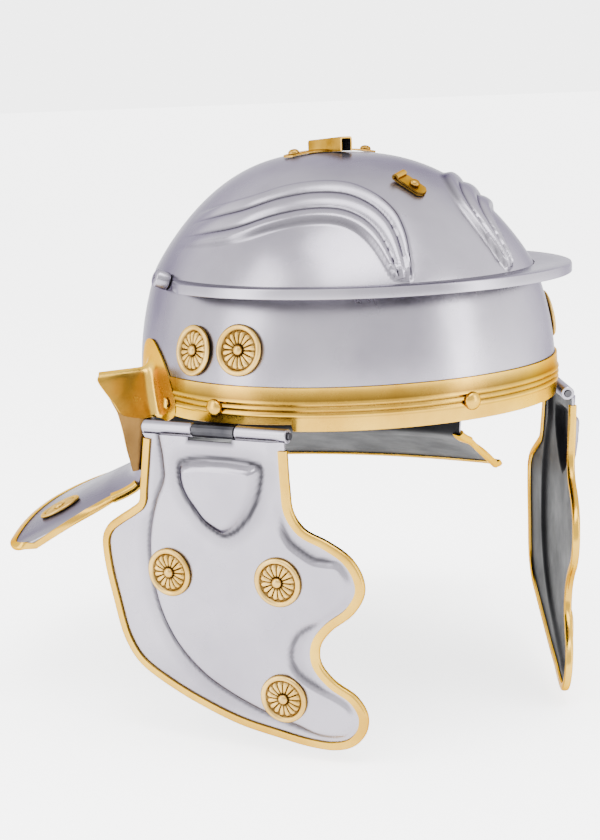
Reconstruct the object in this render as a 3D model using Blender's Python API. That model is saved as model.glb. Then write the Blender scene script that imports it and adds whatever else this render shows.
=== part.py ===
"""Roman legionary helmet: steel skull and cheek plates with brass fittings.

The frame is +Z up with the front of the helmet towards -Y, so the wearer's right is -X.
The origin is the centre of the front rim, at the height of the brow band's lower edge.
Lengths below are millimetres, and the meshes are written in metres.
"""
import bpy
import bmesh
from math import acos, cos, degrees, pi, radians, sin, sqrt
from mathutils import Vector
from mathutils.geometry import delaunay_2d_cdt

MM = 0.001

# Sheets and gaps
SHEET = 1.2
BRASS = 0.8
GAP = 0.3

# Bowl, measured outside the steel
RIM_HALF_LENGTH = 112.4
RIM_HALF_WIDTH = 97.8
BROW_HALF_LENGTH = 105.2
BROW_HALF_WIDTH = 88.1
BROW_HEIGHT = 62.7
CROWN_HEIGHT = 118.5
CROWN_SHIFT = 4.2
SIDE_SWELL_LENGTH = 3.0
SIDE_SWELL_WIDTH = 4.0
FRONT_FULLNESS = 0.18
DOME_RISE = 1.06
DOME_ROUND = 2.59
NOTCH_HEIGHT = 3.2
EAR_OPENING_HEIGHT = 16.0

# Embossed eyebrows
EYEBROW_HEIGHT = 2.6
EYEBROW_RIDGES = 3
EYEBROW_EDGE = 0.1
EYEBROW_TROUGH = 0.3
EYEBROW_RUN_IN = 0.8
EYEBROW_RUN_OUT = 1.5
EYEBROW_SHIFT = {"right": 2.5, "left": 9.0}
EYEBROW_SHIFT_END = 110.0

# Nape and neck guard
NAPE_DROP = 45.5
GUARD_HALF_WIDTH = 152.5
GUARD_FRONT = -54.7
GUARD_BACK = -177.0
GUARD_DROP = 68.6
GUARD_BACK_RISE = 4.2
BINDING_WIDTH = 4.2
BINDING_GAP = 0.6
BINDING_START_ROW = 3
SLEEVE_WIDTH = 5.4
SLEEVE_THICK = 1.2
SLEEVE_ROWS = 2

# Brow band
BAND_HEIGHT = 19.7
BAND_THICK = 0.9
BAND_RIB = 0.7
BAND_END_GAP = 1.7
BAND_RIVET_RADIUS = 4.2
BAND_RIVET_RISE = 3.0
BAND_RIVET_UP = 9.0
BAND_RIVET_DEG = 63.5
BAND_LAST_DEG = 75.0

# Brow guard
BROW_GUARD_SIDE = 10.5
BROW_GUARD_FRONT = 20.5
BROW_GUARD_SLOPE = 0.065
BROW_GUARD_LIP = 4.2
BROW_GUARD_END_DEG = 84.0
BROW_GUARD_TAPER_DEG = 10.0
BROW_GUARD_END_SHARE = 0.45
BROW_GUARD_ROUND = 0.8
BROW_GUARD_STEPS = 14
BROW_RIVET_RADIUS = 4.3
BROW_RIVET_RISE = 7.0
BROW_RIVET_DEG = 93.0
BROW_RIVET_DROP = 1.5

# Ear guards
EAR_GUARD_LENGTH = 56.0
EAR_GUARD_HEIGHT = 67.0
EAR_LIP_REACH = 30.0
EAR_RIVET_RADIUS = 2.7
EAR_RIVET_RISE = 1.6

# Rosettes
BOWL_ROSETTE_RADIUS = 11.8
CHEEK_ROSETTE_RADIUS = 11.4
NECK_ROSETTE_RADIUS = 11.0
ROSETTE_RIM = 2.2
ROSETTE_RIM_WIDTH = 2.9
ROSETTE_RIM_SLOPE = 0.4
ROSETTE_FIELD = 1.3
ROSETTE_HEART = 0.5
ROSETTE_PETAL = 0.7
ROSETTE_SIDES = 14
KNOB_RADIUS = 2.9
KNOB_RISE = 2.4

# Crest fittings
HOLDER_LENGTH = 29.0
HOLDER_WIDTH = 6.8
HOLDER_HEIGHT = 6.6
HOLDER_SPAN = 52.0
HOLDER_TONGUE = 9.0
HOLDER_RIVET_OUT = 21.0
HOLDER_RIVET_RADIUS = 2.7
HOLDER_RIVET_RISE = 2.0
HOLDER_SEAT = 0.6
HOLDER_BEND = 0.6
HOOK_WIDTH = 7.6
HOOK_LENGTH = 16.6
HOOK_LOOP_RADIUS = 1.7
HOOK_CORNER = 2.2
HOOK_CENTRE_Y = -69.4
HOOK_DEG = 2.0
HOOK_TWIST = 25.0
HOOK_BED_RADIUS = 95.0
HOOK_RIVET_RADIUS = 2.4
HOOK_RIVET_RISE = 1.9
HOOK_SEAT = 0.4
HOOK_LIFT = 0.5
HOOK_MOUTH = 0.75
HOOK_STEPS = 9
HOOK_TURN = 0.8

# Cheek plate hinges: the front end of the pin on the wearer's left, and its toe-in
HINGE_FRONT = Vector((80.6, -86.7, -1.0))
HINGE_TOE_IN = 30.0
HINGE_LENGTH = 74.6
ROLL_RADIUS = 3.3
PIN_RADIUS = 1.65
PIN_CLEARANCE = 0.3
PIN_OVERHANG = 1.2
KNUCKLE_START = 26.5
KNUCKLE_LENGTH = 21.6
KNUCKLE_GAP = 0.5
KNUCKLE_ROOM = 3.4
ROLL_JOIN = 0.4
ROLL_INSET = 0.6
STRAP_RISE = 17.0
STRAP_TOP = 1.4
STRAP_INSET = 9.0
STRAP_ROOM = 0.7
STRAP_COLUMNS = 5

# Cheek plates
CHEEK_WIDTH = 136.0
CHEEK_HEIGHT = 145.5
CHEEK_BOW_LENGTH = 3.7
CHEEK_BOW_HEIGHT = 6.3
CHEEK_REAR_SHARE = 0.749
CHEEK_STRAIGHT_TOP = 34.0
CHEEK_STEP = 1.8
CHEEK_SHIELD = 4.0
CHEEK_SLOPE = 3.0
CHEEK_TRIM_WIDTH = 3.6
TRIM_BED = 4.8
TRIM_ROOM = 2.5
GRID_STEP = 16.0

# Columns of the bowl from the front, in degrees, and shares of the nape from its front edge
FRONT_COLUMNS = (0, 7.5, 15, 22.5, 30, 36, 42, 43, 50, 57.5, 65, 72.5, 80, 88, 90.6)
NOTCH_START = 43.0
NOTCH_END = 88.0
EAR_COLUMNS = ((91.2, 0.5), (92.6, 0.94), (94.6, 1.0))
NAPE_START = 97.0
NAPE_SHARES = (0.0, 0.036, 0.085, 0.145, 0.217, 0.301, 0.398, 0.506, 0.627, 0.747, 0.873, 1.0)

# Nape sections: share of the drop, half width as a share of the rim's, front edge and back behind
# the centre as shares of the rim's half length, fullness and how square the plan is
NAPE_ROWS = (
    {"drop": 0.44, "side": 0.994, "front": 0.165, "back": 1.009, "fullness": 0.17, "square": 1.02},
    {"drop": 0.73, "side": 1.006, "front": 0.2, "back": 1.021, "fullness": 0.16, "square": 1.06},
    {"drop": 0.86, "side": 1.02, "front": 0.219, "back": 1.045, "fullness": 0.15, "square": 1.10},
    {"drop": 0.945, "side": 1.079, "front": 0.246, "back": 1.094, "fullness": 0.12, "square": 1.15},
    {"drop": 1.0, "side": 1.135, "front": 0.271, "back": 1.139, "fullness": 0.10, "square": 1.20},
)
# Outline of the neck guard as shares of its half width and of its depth behind the front corners
GUARD_OUTLINE = (
    {"out": 0.945, "back": -0.035}, {"out": 0.984, "back": -0.012}, {"out": 1.0, "back": 0.03},
    {"out": 0.988, "back": 0.085}, {"out": 0.935, "back": 0.19}, {"out": 0.855, "back": 0.33},
    {"out": 0.745, "back": 0.495}, {"out": 0.617, "back": 0.65}, {"out": 0.469, "back": 0.79},
    {"out": 0.315, "back": 0.90}, {"out": 0.155, "back": 0.975}, {"out": 0.0, "back": 1.0},
)
GUARD_STEPS = 2

# Eyebrow bands from the low front end: degrees round the bowl and dome share, upper and lower edge
EYEBROW_ROWS = (
    {"deg_up": 11.0, "up": 0.03, "deg_low": 15.0, "low": 0.09},
    {"deg_up": 9.0, "up": 0.25, "deg_low": 17.5, "low": 0.21},
    {"deg_up": 7.8, "up": 0.39, "deg_low": 20.0, "low": 0.295},
    {"deg_up": 8.6, "up": 0.475, "deg_low": 22.5, "low": 0.345},
    {"deg_up": 13.0, "up": 0.553, "deg_low": 26.0, "low": 0.385},
    {"deg_up": 22.0, "up": 0.616, "deg_low": 31.5, "low": 0.410},
    {"deg_up": 36.0, "up": 0.636, "deg_low": 41.0, "low": 0.412},
    {"deg_up": 53.0, "up": 0.615, "deg_low": 53.0, "low": 0.380},
    {"deg_up": 70.0, "up": 0.555, "deg_low": 66.5, "low": 0.320},
    {"deg_up": 87.0, "up": 0.505, "deg_low": 83.0, "low": 0.285},
    {"deg_up": 106.0, "up": 0.455, "deg_low": 101.0, "low": 0.260},
)

# Ear guard sections from the front foot over the top to the rear foot: places of the bend and of
# the flange's edge, as shares of the guard's length and height, and the share of the lip's reach
EAR_ROWS = (
    {"fore": -0.009, "up": -0.022, "edge_fore": 0.161, "edge_up": -0.042, "lip": 0.36},
    {"fore": -0.021, "up": 0.018, "edge_fore": 0.325, "edge_up": 0.024, "lip": 0.66},
    {"fore": -0.046, "up": 0.104, "edge_fore": 0.373, "edge_up": 0.113, "lip": 0.78},
    {"fore": -0.075, "up": 0.187, "edge_fore": 0.329, "edge_up": 0.201, "lip": 0.90},
    {"fore": -0.104, "up": 0.263, "edge_fore": 0.243, "edge_up": 0.31, "lip": 1.0},
    {"fore": -0.132, "up": 0.299, "edge_fore": 0.071, "edge_up": 0.427, "lip": 0.97},
    {"fore": -0.175, "up": 0.307, "edge_fore": -0.161, "edge_up": 0.504, "lip": 0.94},
    {"fore": -0.221, "up": 0.272, "edge_fore": -0.393, "edge_up": 0.463, "lip": 0.90},
    {"fore": -0.25, "up": 0.149, "edge_fore": -0.482, "edge_up": 0.269, "lip": 0.78},
    {"fore": -0.268, "up": 0.015, "edge_fore": -0.5, "edge_up": 0.06, "lip": 0.64},
    {"fore": -0.312, "up": -0.164, "edge_fore": -0.536, "edge_up": -0.149, "lip": 0.46},
    {"fore": -0.366, "up": -0.328, "edge_fore": -0.589, "edge_up": -0.328, "lip": 0.30},
    {"fore": -0.42, "up": -0.478, "edge_fore": -0.625, "edge_up": -0.493, "lip": 0.14},
)
EAR_RIVETS = ({"name": "front", "fore": 0.218, "up": 0.099}, {"name": "rear", "fore": -0.491, "up": -0.433})

# Cheek outline from the rear top round the bottom to the front top: shares of the width,
# measured forwards from the rear end, and of the height below the hinge
CHEEK_OUTLINE = (
    {"fore": 0.208, "down": 0.030}, {"fore": 0.180, "down": 0.195}, {"fore": 0.170, "down": 0.240},
    {"fore": 0.140, "down": 0.262}, {"fore": 0.077, "down": 0.298}, {"fore": 0.028, "down": 0.332},
    {"fore": 0.002, "down": 0.375}, {"fore": 0.003, "down": 0.455}, {"fore": 0.030, "down": 0.585},
    {"fore": 0.066, "down": 0.715}, {"fore": 0.123, "down": 0.793}, {"fore": 0.240, "down": 0.857},
    {"fore": 0.380, "down": 0.912}, {"fore": 0.520, "down": 0.955}, {"fore": 0.666, "down": 0.981},
    {"fore": 0.777, "down": 0.998}, {"fore": 0.868, "down": 1.0}, {"fore": 0.935, "down": 0.980},
    {"fore": 0.980, "down": 0.932}, {"fore": 0.990, "down": 0.872}, {"fore": 0.955, "down": 0.812},
    {"fore": 0.878, "down": 0.764}, {"fore": 0.835, "down": 0.712}, {"fore": 0.837, "down": 0.658},
    {"fore": 0.878, "down": 0.606}, {"fore": 0.958, "down": 0.546}, {"fore": 1.0, "down": 0.478},
    {"fore": 0.995, "down": 0.420}, {"fore": 0.955, "down": 0.361}, {"fore": 0.881, "down": 0.316},
    {"fore": 0.800, "down": 0.281}, {"fore": 0.764, "down": 0.232}, {"fore": 0.757, "down": 0.160},
    {"fore": 0.754, "down": 0.042},
)
# Edge of the raised main panel, and the raised shield, in the same shares
CHEEK_PANEL = (
    {"fore": 0.288, "down": -0.05}, {"fore": 0.286, "down": 0.093}, {"fore": 0.286, "down": 0.156},
    {"fore": 0.249, "down": 0.234}, {"fore": 0.222, "down": 0.315}, {"fore": 0.210, "down": 0.395},
    {"fore": 0.217, "down": 0.508}, {"fore": 0.243, "down": 0.606}, {"fore": 0.301, "down": 0.705},
    {"fore": 0.394, "down": 0.790}, {"fore": 0.488, "down": 0.841}, {"fore": 0.611, "down": 0.889},
    {"fore": 0.743, "down": 0.926}, {"fore": 0.820, "down": 0.950}, {"fore": 0.930, "down": 0.945},
    {"fore": 1.15, "down": 0.90}, {"fore": 1.15, "down": 0.83}, {"fore": 0.880, "down": 0.815},
    {"fore": 0.821, "down": 0.798}, {"fore": 0.752, "down": 0.759}, {"fore": 0.722, "down": 0.712},
    {"fore": 0.730, "down": 0.658}, {"fore": 0.763, "down": 0.612}, {"fore": 0.830, "down": 0.580},
    {"fore": 1.10, "down": 0.560}, {"fore": 1.10, "down": 0.40}, {"fore": 0.840, "down": 0.385},
    {"fore": 0.789, "down": 0.362}, {"fore": 0.745, "down": 0.331}, {"fore": 0.719, "down": 0.282},
    {"fore": 0.719, "down": 0.234}, {"fore": 0.735, "down": 0.190}, {"fore": 0.80, "down": 0.15},
    {"fore": 0.80, "down": -0.05},
)
CHEEK_SHIELD_OUTLINE = (
    {"fore": 0.360, "down": 0.098}, {"fore": 0.351, "down": 0.130}, {"fore": 0.356, "down": 0.170},
    {"fore": 0.375, "down": 0.210}, {"fore": 0.396, "down": 0.236}, {"fore": 0.440, "down": 0.285},
    {"fore": 0.480, "down": 0.308}, {"fore": 0.513, "down": 0.319}, {"fore": 0.550, "down": 0.306},
    {"fore": 0.588, "down": 0.274}, {"fore": 0.618, "down": 0.238}, {"fore": 0.642, "down": 0.192},
    {"fore": 0.655, "down": 0.150}, {"fore": 0.662, "down": 0.105}, {"fore": 0.655, "down": 0.092},
)
CHEEK_ROSETTES = (
    {"name": "rear", "fore": 0.290, "down": 0.461},
    {"name": "front", "fore": 0.705, "down": 0.456},
    {"name": "low", "fore": 0.701, "down": 0.838},
)
BOWL_ROSETTES = ({"name": "front", "deg": 56.9, "up": 35.4}, {"name": "rear", "deg": 72.0, "up": 33.4})
NECK_ROSETTE_SHARE = {"round": 0.25, "across": 0.46}

# Finishes: colour, roughness and metallic value
FINISHES = {
    "steel": ((0.62, 0.61, 0.62, 1.0), 0.28, 1.0),
    "brass": ((0.80, 0.56, 0.22, 1.0), 0.25, 1.0),
    "cast_brass": ((0.80, 0.60, 0.32, 1.0), 0.42, 1.0),
}


def clear_scene():
    for old in list(bpy.data.objects):
        bpy.data.objects.remove(old, do_unlink=True)


def finish(name):
    found = bpy.data.materials.get(name)
    if found:
        return found
    made = bpy.data.materials.new(name)
    made.use_nodes = True
    shader = made.node_tree.nodes["Principled BSDF"]
    colour, roughness, metallic = FINISHES[name]
    shader.inputs["Base Color"].default_value = colour
    shader.inputs["Roughness"].default_value = roughness
    shader.inputs["Metallic"].default_value = metallic
    return made


def add_body(name, body, look, carrier=None, sharp_deg=32.0):
    """Turn a closed bmesh in mm into a named object, with its origin on its carrier's."""
    bmesh.ops.remove_doubles(body, verts=body.verts, dist=0.01)
    bmesh.ops.dissolve_degenerate(body, dist=0.005, edges=body.edges)
    bmesh.ops.triangulate(body, faces=body.faces)
    bmesh.ops.recalc_face_normals(body, faces=body.faces)
    base = carrier.location if carrier else Vector((0, 0, 0))
    for vert in body.verts:
        vert.co = vert.co * MM - base
    mesh = bpy.data.meshes.new(name)
    body.to_mesh(mesh)
    body.free()
    mesh.shade_smooth()
    mesh.set_sharp_from_angle(angle=radians(sharp_deg))
    mesh.materials.append(finish(look))
    made = bpy.data.objects.new(name, mesh)
    bpy.context.scene.collection.objects.link(made)
    if carrier:
        made.parent = carrier
    return made


def sweep(sections):
    """A closed body through equal sections, each a list of points, with flat ends."""
    body = bmesh.new()
    rings = [[body.verts.new(point) for point in section] for section in sections]
    count = len(sections[0])
    for before, after in zip(rings, rings[1:]):
        for k in range(count):
            body.faces.new((before[k], before[(k + 1) % count], after[(k + 1) % count], after[k]))
    body.faces.new(rings[0])
    body.faces.new(rings[-1])
    return body


def lathe(profile, sides, place, axis, petals=0.0, petal_row=None):
    """A closed turned body: profile rows are radius and height along the axis at place."""
    up = axis.normalized()
    side = up.orthogonal().normalized()
    across = up.cross(side)
    body = bmesh.new()
    rings = []
    for row, (radius, height) in enumerate(profile):
        ring = []
        for k in range(sides):
            angle = 2 * pi * k / sides
            lift = petals if row == petal_row and k % 2 == 0 else 0.0
            spoke = side * cos(angle) + across * sin(angle)
            ring.append(body.verts.new(place + spoke * radius + up * (height + lift)))
        rings.append(ring)
    for before, after in zip(rings, rings[1:]):
        for k in range(sides):
            body.faces.new((before[k], before[(k + 1) % sides], after[(k + 1) % sides], after[k]))
    body.faces.new(rings[0])
    body.faces.new(rings[-1])
    return body


def dome_rivet(name, place, axis, radius, rise, look, carrier=None, sides=12):
    profile = [(radius, 0.0), (radius, rise * 0.25), (radius * 0.8, rise * 0.72),
               (radius * 0.35, rise)]
    body = lathe(profile, sides, place + axis.normalized() * GAP, axis)
    return add_body(name, body, look, carrier)


def bowl_half_sizes(up):
    """Half length, half width and forward shift of the bowl's outside at a height."""
    if up <= BROW_HEIGHT:
        share = max(up, 0.0) / BROW_HEIGHT
        swell = 4 * share * (1 - share)
        length = RIM_HALF_LENGTH + (BROW_HALF_LENGTH - RIM_HALF_LENGTH) * share
        width = RIM_HALF_WIDTH + (BROW_HALF_WIDTH - RIM_HALF_WIDTH) * share
        return length + SIDE_SWELL_LENGTH * swell, width + SIDE_SWELL_WIDTH * swell, 0.0
    share = min((up - BROW_HEIGHT) / (CROWN_HEIGHT - BROW_HEIGHT), 1.0)
    size = max(1 - share ** DOME_RISE, 0.0) ** (1 / DOME_ROUND)
    return BROW_HALF_LENGTH * size, BROW_HALF_WIDTH * size, CROWN_SHIFT * share


def ring_point(deg, up):
    """Outside of the bowl at an angle from the front, positive to the wearer's left."""
    length, width, shift = bowl_half_sizes(up)
    turn = radians(deg)
    return Vector((width * sin(turn) * (1 + FRONT_FULLNESS * cos(turn)), -length * cos(turn) - shift, up))


def dome_up(share):
    """Height for a dome share, which runs from 0 at the brow to 1 at the crown."""
    size = cos(min(share, 1.0) * pi / 2)
    rise = max(1 - size ** DOME_ROUND, 0.0) ** (1 / DOME_RISE)
    return BROW_HEIGHT + (CROWN_HEIGHT - BROW_HEIGHT) * rise


def bowl_point(deg, share):
    """Outside of the dome by its share; at the crown every angle meets."""
    up = dome_up(share)
    size = cos(min(share, 1.0) * pi / 2)
    shift = CROWN_SHIFT * (up - BROW_HEIGHT) / (CROWN_HEIGHT - BROW_HEIGHT)
    turn = radians(deg)
    across = BROW_HALF_WIDTH * size * sin(turn) * (1 + FRONT_FULLNESS * cos(turn))
    return Vector((across, -BROW_HALF_LENGTH * size * cos(turn) - shift, up))


def normal_of(surface, a, b, step_a, step_b):
    """Outward normal of surface(a, b), by differences that stay inside the bowl's range."""
    along = surface(a + step_a, b) - surface(a - step_a, b)
    rising = surface(a, b + step_b) - surface(a, b - step_b)
    return along.cross(rising).normalized()


def wall_normal(deg, up):
    return normal_of(ring_point, deg, up, 0.5, 0.5)


def dome_normal(deg, share):
    if share > 0.985:
        return Vector((0, 0, 1))
    return normal_of(bowl_point, deg, share, 0.5, 0.005)


def rim_up(deg):
    """Height of the steel rim: notched over the hinge and arched over the ear."""
    around = abs(deg)
    if around < NOTCH_START - 0.01:
        return 0.0
    if around <= NOTCH_END:
        fall = (around - NOTCH_START) / (NOTCH_END - NOTCH_START)
        return NOTCH_HEIGHT * (1 - 0.8 * fall)
    for place, share in EAR_COLUMNS:
        if abs(around - place) < 0.01:
            return EAR_OPENING_HEIGHT * share
    return NOTCH_HEIGHT * 0.2 if around < EAR_COLUMNS[0][0] else 0.0


def nape_row_point(row, share):
    """A point of one nape section; share runs from the front edge to the middle of the back."""
    turn = radians(90 * (1 - share))
    out = RIM_HALF_WIDTH * row["side"] * sin(turn) * (1 - row["fullness"] * cos(turn))
    reach = (row["back"] - row["front"]) * max(cos(turn), 0.0) ** row["square"]
    return Vector((out, RIM_HALF_LENGTH * (row["front"] + reach), -NAPE_DROP * row["drop"]))


def guard_edge_point(index):
    row = GUARD_OUTLINE[index]
    depth = GUARD_FRONT - GUARD_BACK
    out = GUARD_HALF_WIDTH * row["out"]
    fore = GUARD_FRONT - depth * row["back"]
    drop = GUARD_DROP - GUARD_BACK_RISE * row["back"]
    return Vector((out, -fore, -drop))


def back_grid():
    """Outside points of the nape and neck guard for the left half: columns of rows, rim first."""
    columns = []
    for index, share in enumerate(NAPE_SHARES):
        deg = NAPE_START + (180 - NAPE_START) * share
        column = [ring_point(deg, 0.0)]
        column += [nape_row_point(row, share) for row in NAPE_ROWS]
        last = column[-1]
        edge = guard_edge_point(index)
        column += [last.lerp(edge, step / GUARD_STEPS) for step in range(1, GUARD_STEPS + 1)]
        columns.append(column)
    return columns


def mirrored(point):
    return Vector((-point.x, point.y, point.z))


def full_back_grid():
    """The back columns from the wearer's left front edge round to the right one."""
    left = back_grid()
    right = [[mirrored(point) for point in column] for column in left[:-1]]
    return left + right[::-1]


def grid_normals(grid):
    """Outward normals of the back grid."""
    normals = []
    for i, column in enumerate(grid):
        line = []
        for j in range(len(column)):
            along = grid[min(i + 1, len(grid) - 1)][j] - grid[max(i - 1, 0)][j]
            down = column[min(j + 1, len(column) - 1)] - column[max(j - 1, 0)]
            line.append(down.cross(along).normalized())
        normals.append(line)
    return normals


def eyebrow_cells():
    """Two triangles for each stretch of the eyebrow, with their places along and across it."""
    cells = []
    for k, (a, b) in enumerate(zip(EYEBROW_ROWS, EYEBROW_ROWS[1:])):
        up_a = (a["deg_up"], a["up"])
        up_b = (b["deg_up"], b["up"])
        low_a = (a["deg_low"], a["low"])
        low_b = (b["deg_low"], b["low"])
        cells.append(((up_a, (k, 0)), (up_b, (k + 1, 0)), (low_a, (k, 1))))
        cells.append(((up_b, (k + 1, 0)), (low_b, (k + 1, 1)), (low_a, (k, 1))))
    return cells


EYEBROW_CELLS = eyebrow_cells()


def eyebrow_place(deg, share):
    """Place along and across the eyebrow, or None outside it; the hammered pair isn't quite even."""
    shift = EYEBROW_SHIFT["left" if deg > 0 else "right"]
    x = (abs(deg) - shift) / (1 - shift / EYEBROW_SHIFT_END)
    for cell in EYEBROW_CELLS:
        (x1, y1), (x2, y2), (x3, y3) = (corner[0] for corner in cell)
        area = (x2 - x1) * (y3 - y1) - (x3 - x1) * (y2 - y1)
        b = ((x - x1) * (y3 - y1) - (x3 - x1) * (share - y1)) / area
        c = ((x2 - x1) * (share - y1) - (x - x1) * (y2 - y1)) / area
        a = 1 - b - c
        if min(a, b, c) >= -1e-6:
            along = sum(w * corner[1][0] for w, corner in zip((a, b, c), cell))
            across = sum(w * corner[1][1] for w, corner in zip((a, b, c), cell))
            return along, across
    return None


def eyebrow_rise(deg, share):
    """Height of the embossed eyebrow above the dome."""
    place = eyebrow_place(deg, share)
    if not place:
        return 0.0
    along, across = place
    edge = min(1.0, across / EYEBROW_EDGE, (1 - across) / EYEBROW_EDGE)
    ridges = abs(sin(EYEBROW_RIDGES * pi * across))
    left = len(EYEBROW_ROWS) - 1 - along
    ends = min(1.0, (along + EYEBROW_EDGE) / EYEBROW_RUN_IN, left / EYEBROW_RUN_OUT)
    height = EYEBROW_TROUGH + (1 - EYEBROW_TROUGH) * ridges
    return EYEBROW_HEIGHT * max(edge, 0.0) * max(ends, 0.0) * height


def bowl_columns():
    """All column angles from the left front edge of the nape round the front to the right one."""
    half = list(FRONT_COLUMNS) + [deg for deg, share in EAR_COLUMNS] + [NAPE_START]
    back = [NAPE_START + (180 - NAPE_START) * share for share in NAPE_SHARES[1:]]
    side = half + back
    return [-deg for deg in side[:0:-1]] + side


WALL_ROWS = (0.0, 21.0, 42.0)
DOME_ROWS = 8


def bowl_outside(deg, row):
    """Outside of the skull by column angle and row, with a fraction between rows allowed."""
    if row < len(WALL_ROWS):
        ups = (rim_up(deg),) + WALL_ROWS[1:] + (BROW_HEIGHT,)
        low = int(row)
        up = ups[low] + (ups[low + 1] - ups[low]) * (row - low)
        return ring_point(deg, up), wall_normal(deg, max(up, 0.5))
    share = (row - len(WALL_ROWS)) / DOME_ROWS
    point = bowl_point(deg, share)
    normal = dome_normal(deg, max(share, 0.006))
    return point + normal * eyebrow_rise(deg, share), normal


def touches_eyebrow(face):
    """True where a face of the column and row plane meets the eyebrow band."""
    corners = [(v.co.x, (v.co.y - len(WALL_ROWS)) / DOME_ROWS) for v in face.verts]
    low_deg = min(corner[0] for corner in corners)
    low_share = min(corner[1] for corner in corners)
    wide = max(corner[0] for corner in corners) - low_deg
    tall = max(corner[1] for corner in corners) - low_share
    steps = (0.0, 0.25, 0.5, 0.75, 1.0)
    return any(low_share + tall * b > 0.0 and eyebrow_place(low_deg + wide * a, low_share + tall * b)
               for a in steps for b in steps)


def build_skull():
    """The sheet steel bowl, nape and neck guard as one closed body."""
    body = bmesh.new()
    columns = bowl_columns()
    top_row = len(WALL_ROWS) + DOME_ROWS
    side_rows = {"out": list(range(top_row + 1)), "in": [0, 1, 3, 5, 7, 9, top_row]}
    levels = {"out": 0.0, "in": -1.0}
    near_brow = []
    for side, rows in side_rows.items():
        level = levels[side]
        plane = [[body.verts.new((deg, row, level)) for row in rows] for deg in columns]
        for left, right in zip(plane, plane[1:]):
            for k in range(len(rows) - 1):
                face = body.faces.new((left[k], right[k], right[k + 1], left[k + 1]))
                if side == "out" and touches_eyebrow(face):
                    near_brow.append(face)
    edges = list({edge for face in near_brow for edge in face.edges})
    bmesh.ops.subdivide_edges(body, edges=edges, cuts=1, use_grid_fill=True)
    rims = {}
    for vert in body.verts:
        deg, row, level = vert.co
        if abs(row) < 0.001:
            key = "out" if level > -0.5 else "in"
            rims[key, round(deg, 1)] = vert
        point, normal = bowl_outside(deg, row)
        vert.co = point - normal * SHEET if level < -0.5 else point
    grid = full_back_grid()
    normals = grid_normals(grid)
    back = {}
    for side in ("out", "in"):
        layers = []
        for i, column in enumerate(grid):
            line = []
            for j, point in enumerate(column):
                place = point if side == "out" else point - normals[i][j] * SHEET
                line.append(body.verts.new(place))
            layers.append(line)
        back[side] = layers
        for left, right in zip(layers, layers[1:]):
            for j in range(len(left) - 1):
                body.faces.new((left[j], right[j], right[j + 1], left[j + 1]))
    left_start = columns.index(NAPE_START)
    count = len(NAPE_SHARES)
    for i in range(len(grid)):
        column = left_start + i if i < count else i - count + 1
        for side in ("out", "in"):
            back[side][i][0].co = rims[side, round(columns[column], 1)].co
    front = [round(deg, 1) for deg in columns[columns.index(-NAPE_START):left_start + 1]]
    for a, b in zip(front, front[1:]):
        body.faces.new((rims["out", a], rims["out", b], rims["in", b], rims["in", a]))
    last = len(grid[0]) - 1
    for i in range(len(grid) - 1):
        body.faces.new((back["out"][i][last], back["out"][i + 1][last],
                        back["in"][i + 1][last], back["in"][i][last]))
    for i in (0, len(grid) - 1):
        for j in range(last):
            body.faces.new((back["out"][i][j], back["out"][i][j + 1],
                            back["in"][i][j + 1], back["in"][i][j]))
    add_body("skull", body, "steel", sharp_deg=40)


def wall_out(fore, up):
    """Distance of the skull's outside from the middle plane, at a place beside the ear."""
    def ring_out(height):
        length, width, shift = bowl_half_sizes(height)
        turn = acos(max(-1.0, min(1.0, (fore - shift) / length)))
        return width * sin(turn) * (1 + FRONT_FULLNESS * cos(turn))

    def row_out(row):
        reach = (-fore / RIM_HALF_LENGTH - row["front"]) / (row["back"] - row["front"])
        turn = acos(max(reach, 0.0) ** (1 / row["square"]))
        return RIM_HALF_WIDTH * row["side"] * sin(turn) * (1 - row["fullness"] * cos(turn))

    if up >= 0:
        return ring_out(up)
    levels = [(0.0, ring_out(0.0))]
    levels += [(-NAPE_DROP * row["drop"], row_out(row)) for row in NAPE_ROWS]
    for (high, out_high), (low, out_low) in zip(levels, levels[1:]):
        if up >= low:
            return out_high + (out_low - out_high) * (high - up) / (high - low)
    return levels[-1][1]


def side_point(fore, up):
    return Vector((wall_out(fore, up), -fore, up))


def side_normal(fore, up):
    along = side_point(fore - 1.0, up) - side_point(fore + 1.0, up)
    rising = side_point(fore, up + 1.0) - side_point(fore, up - 1.0)
    return along.cross(rising).normalized()


def u_section(edge, normal, out, width, thick):
    """Folded edging round the sheet: edge is the sheet's edge, out points away from it."""
    gap = BINDING_GAP
    far = gap + thick
    deep = SHEET + gap
    places = ((-width, gap), (-width, far), (far, far), (far, -deep - thick),
              (-width, -deep - thick), (-width, -deep), (gap, -deep), (gap, gap))
    return [edge + out * a + normal * b for a, b in places]


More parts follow.
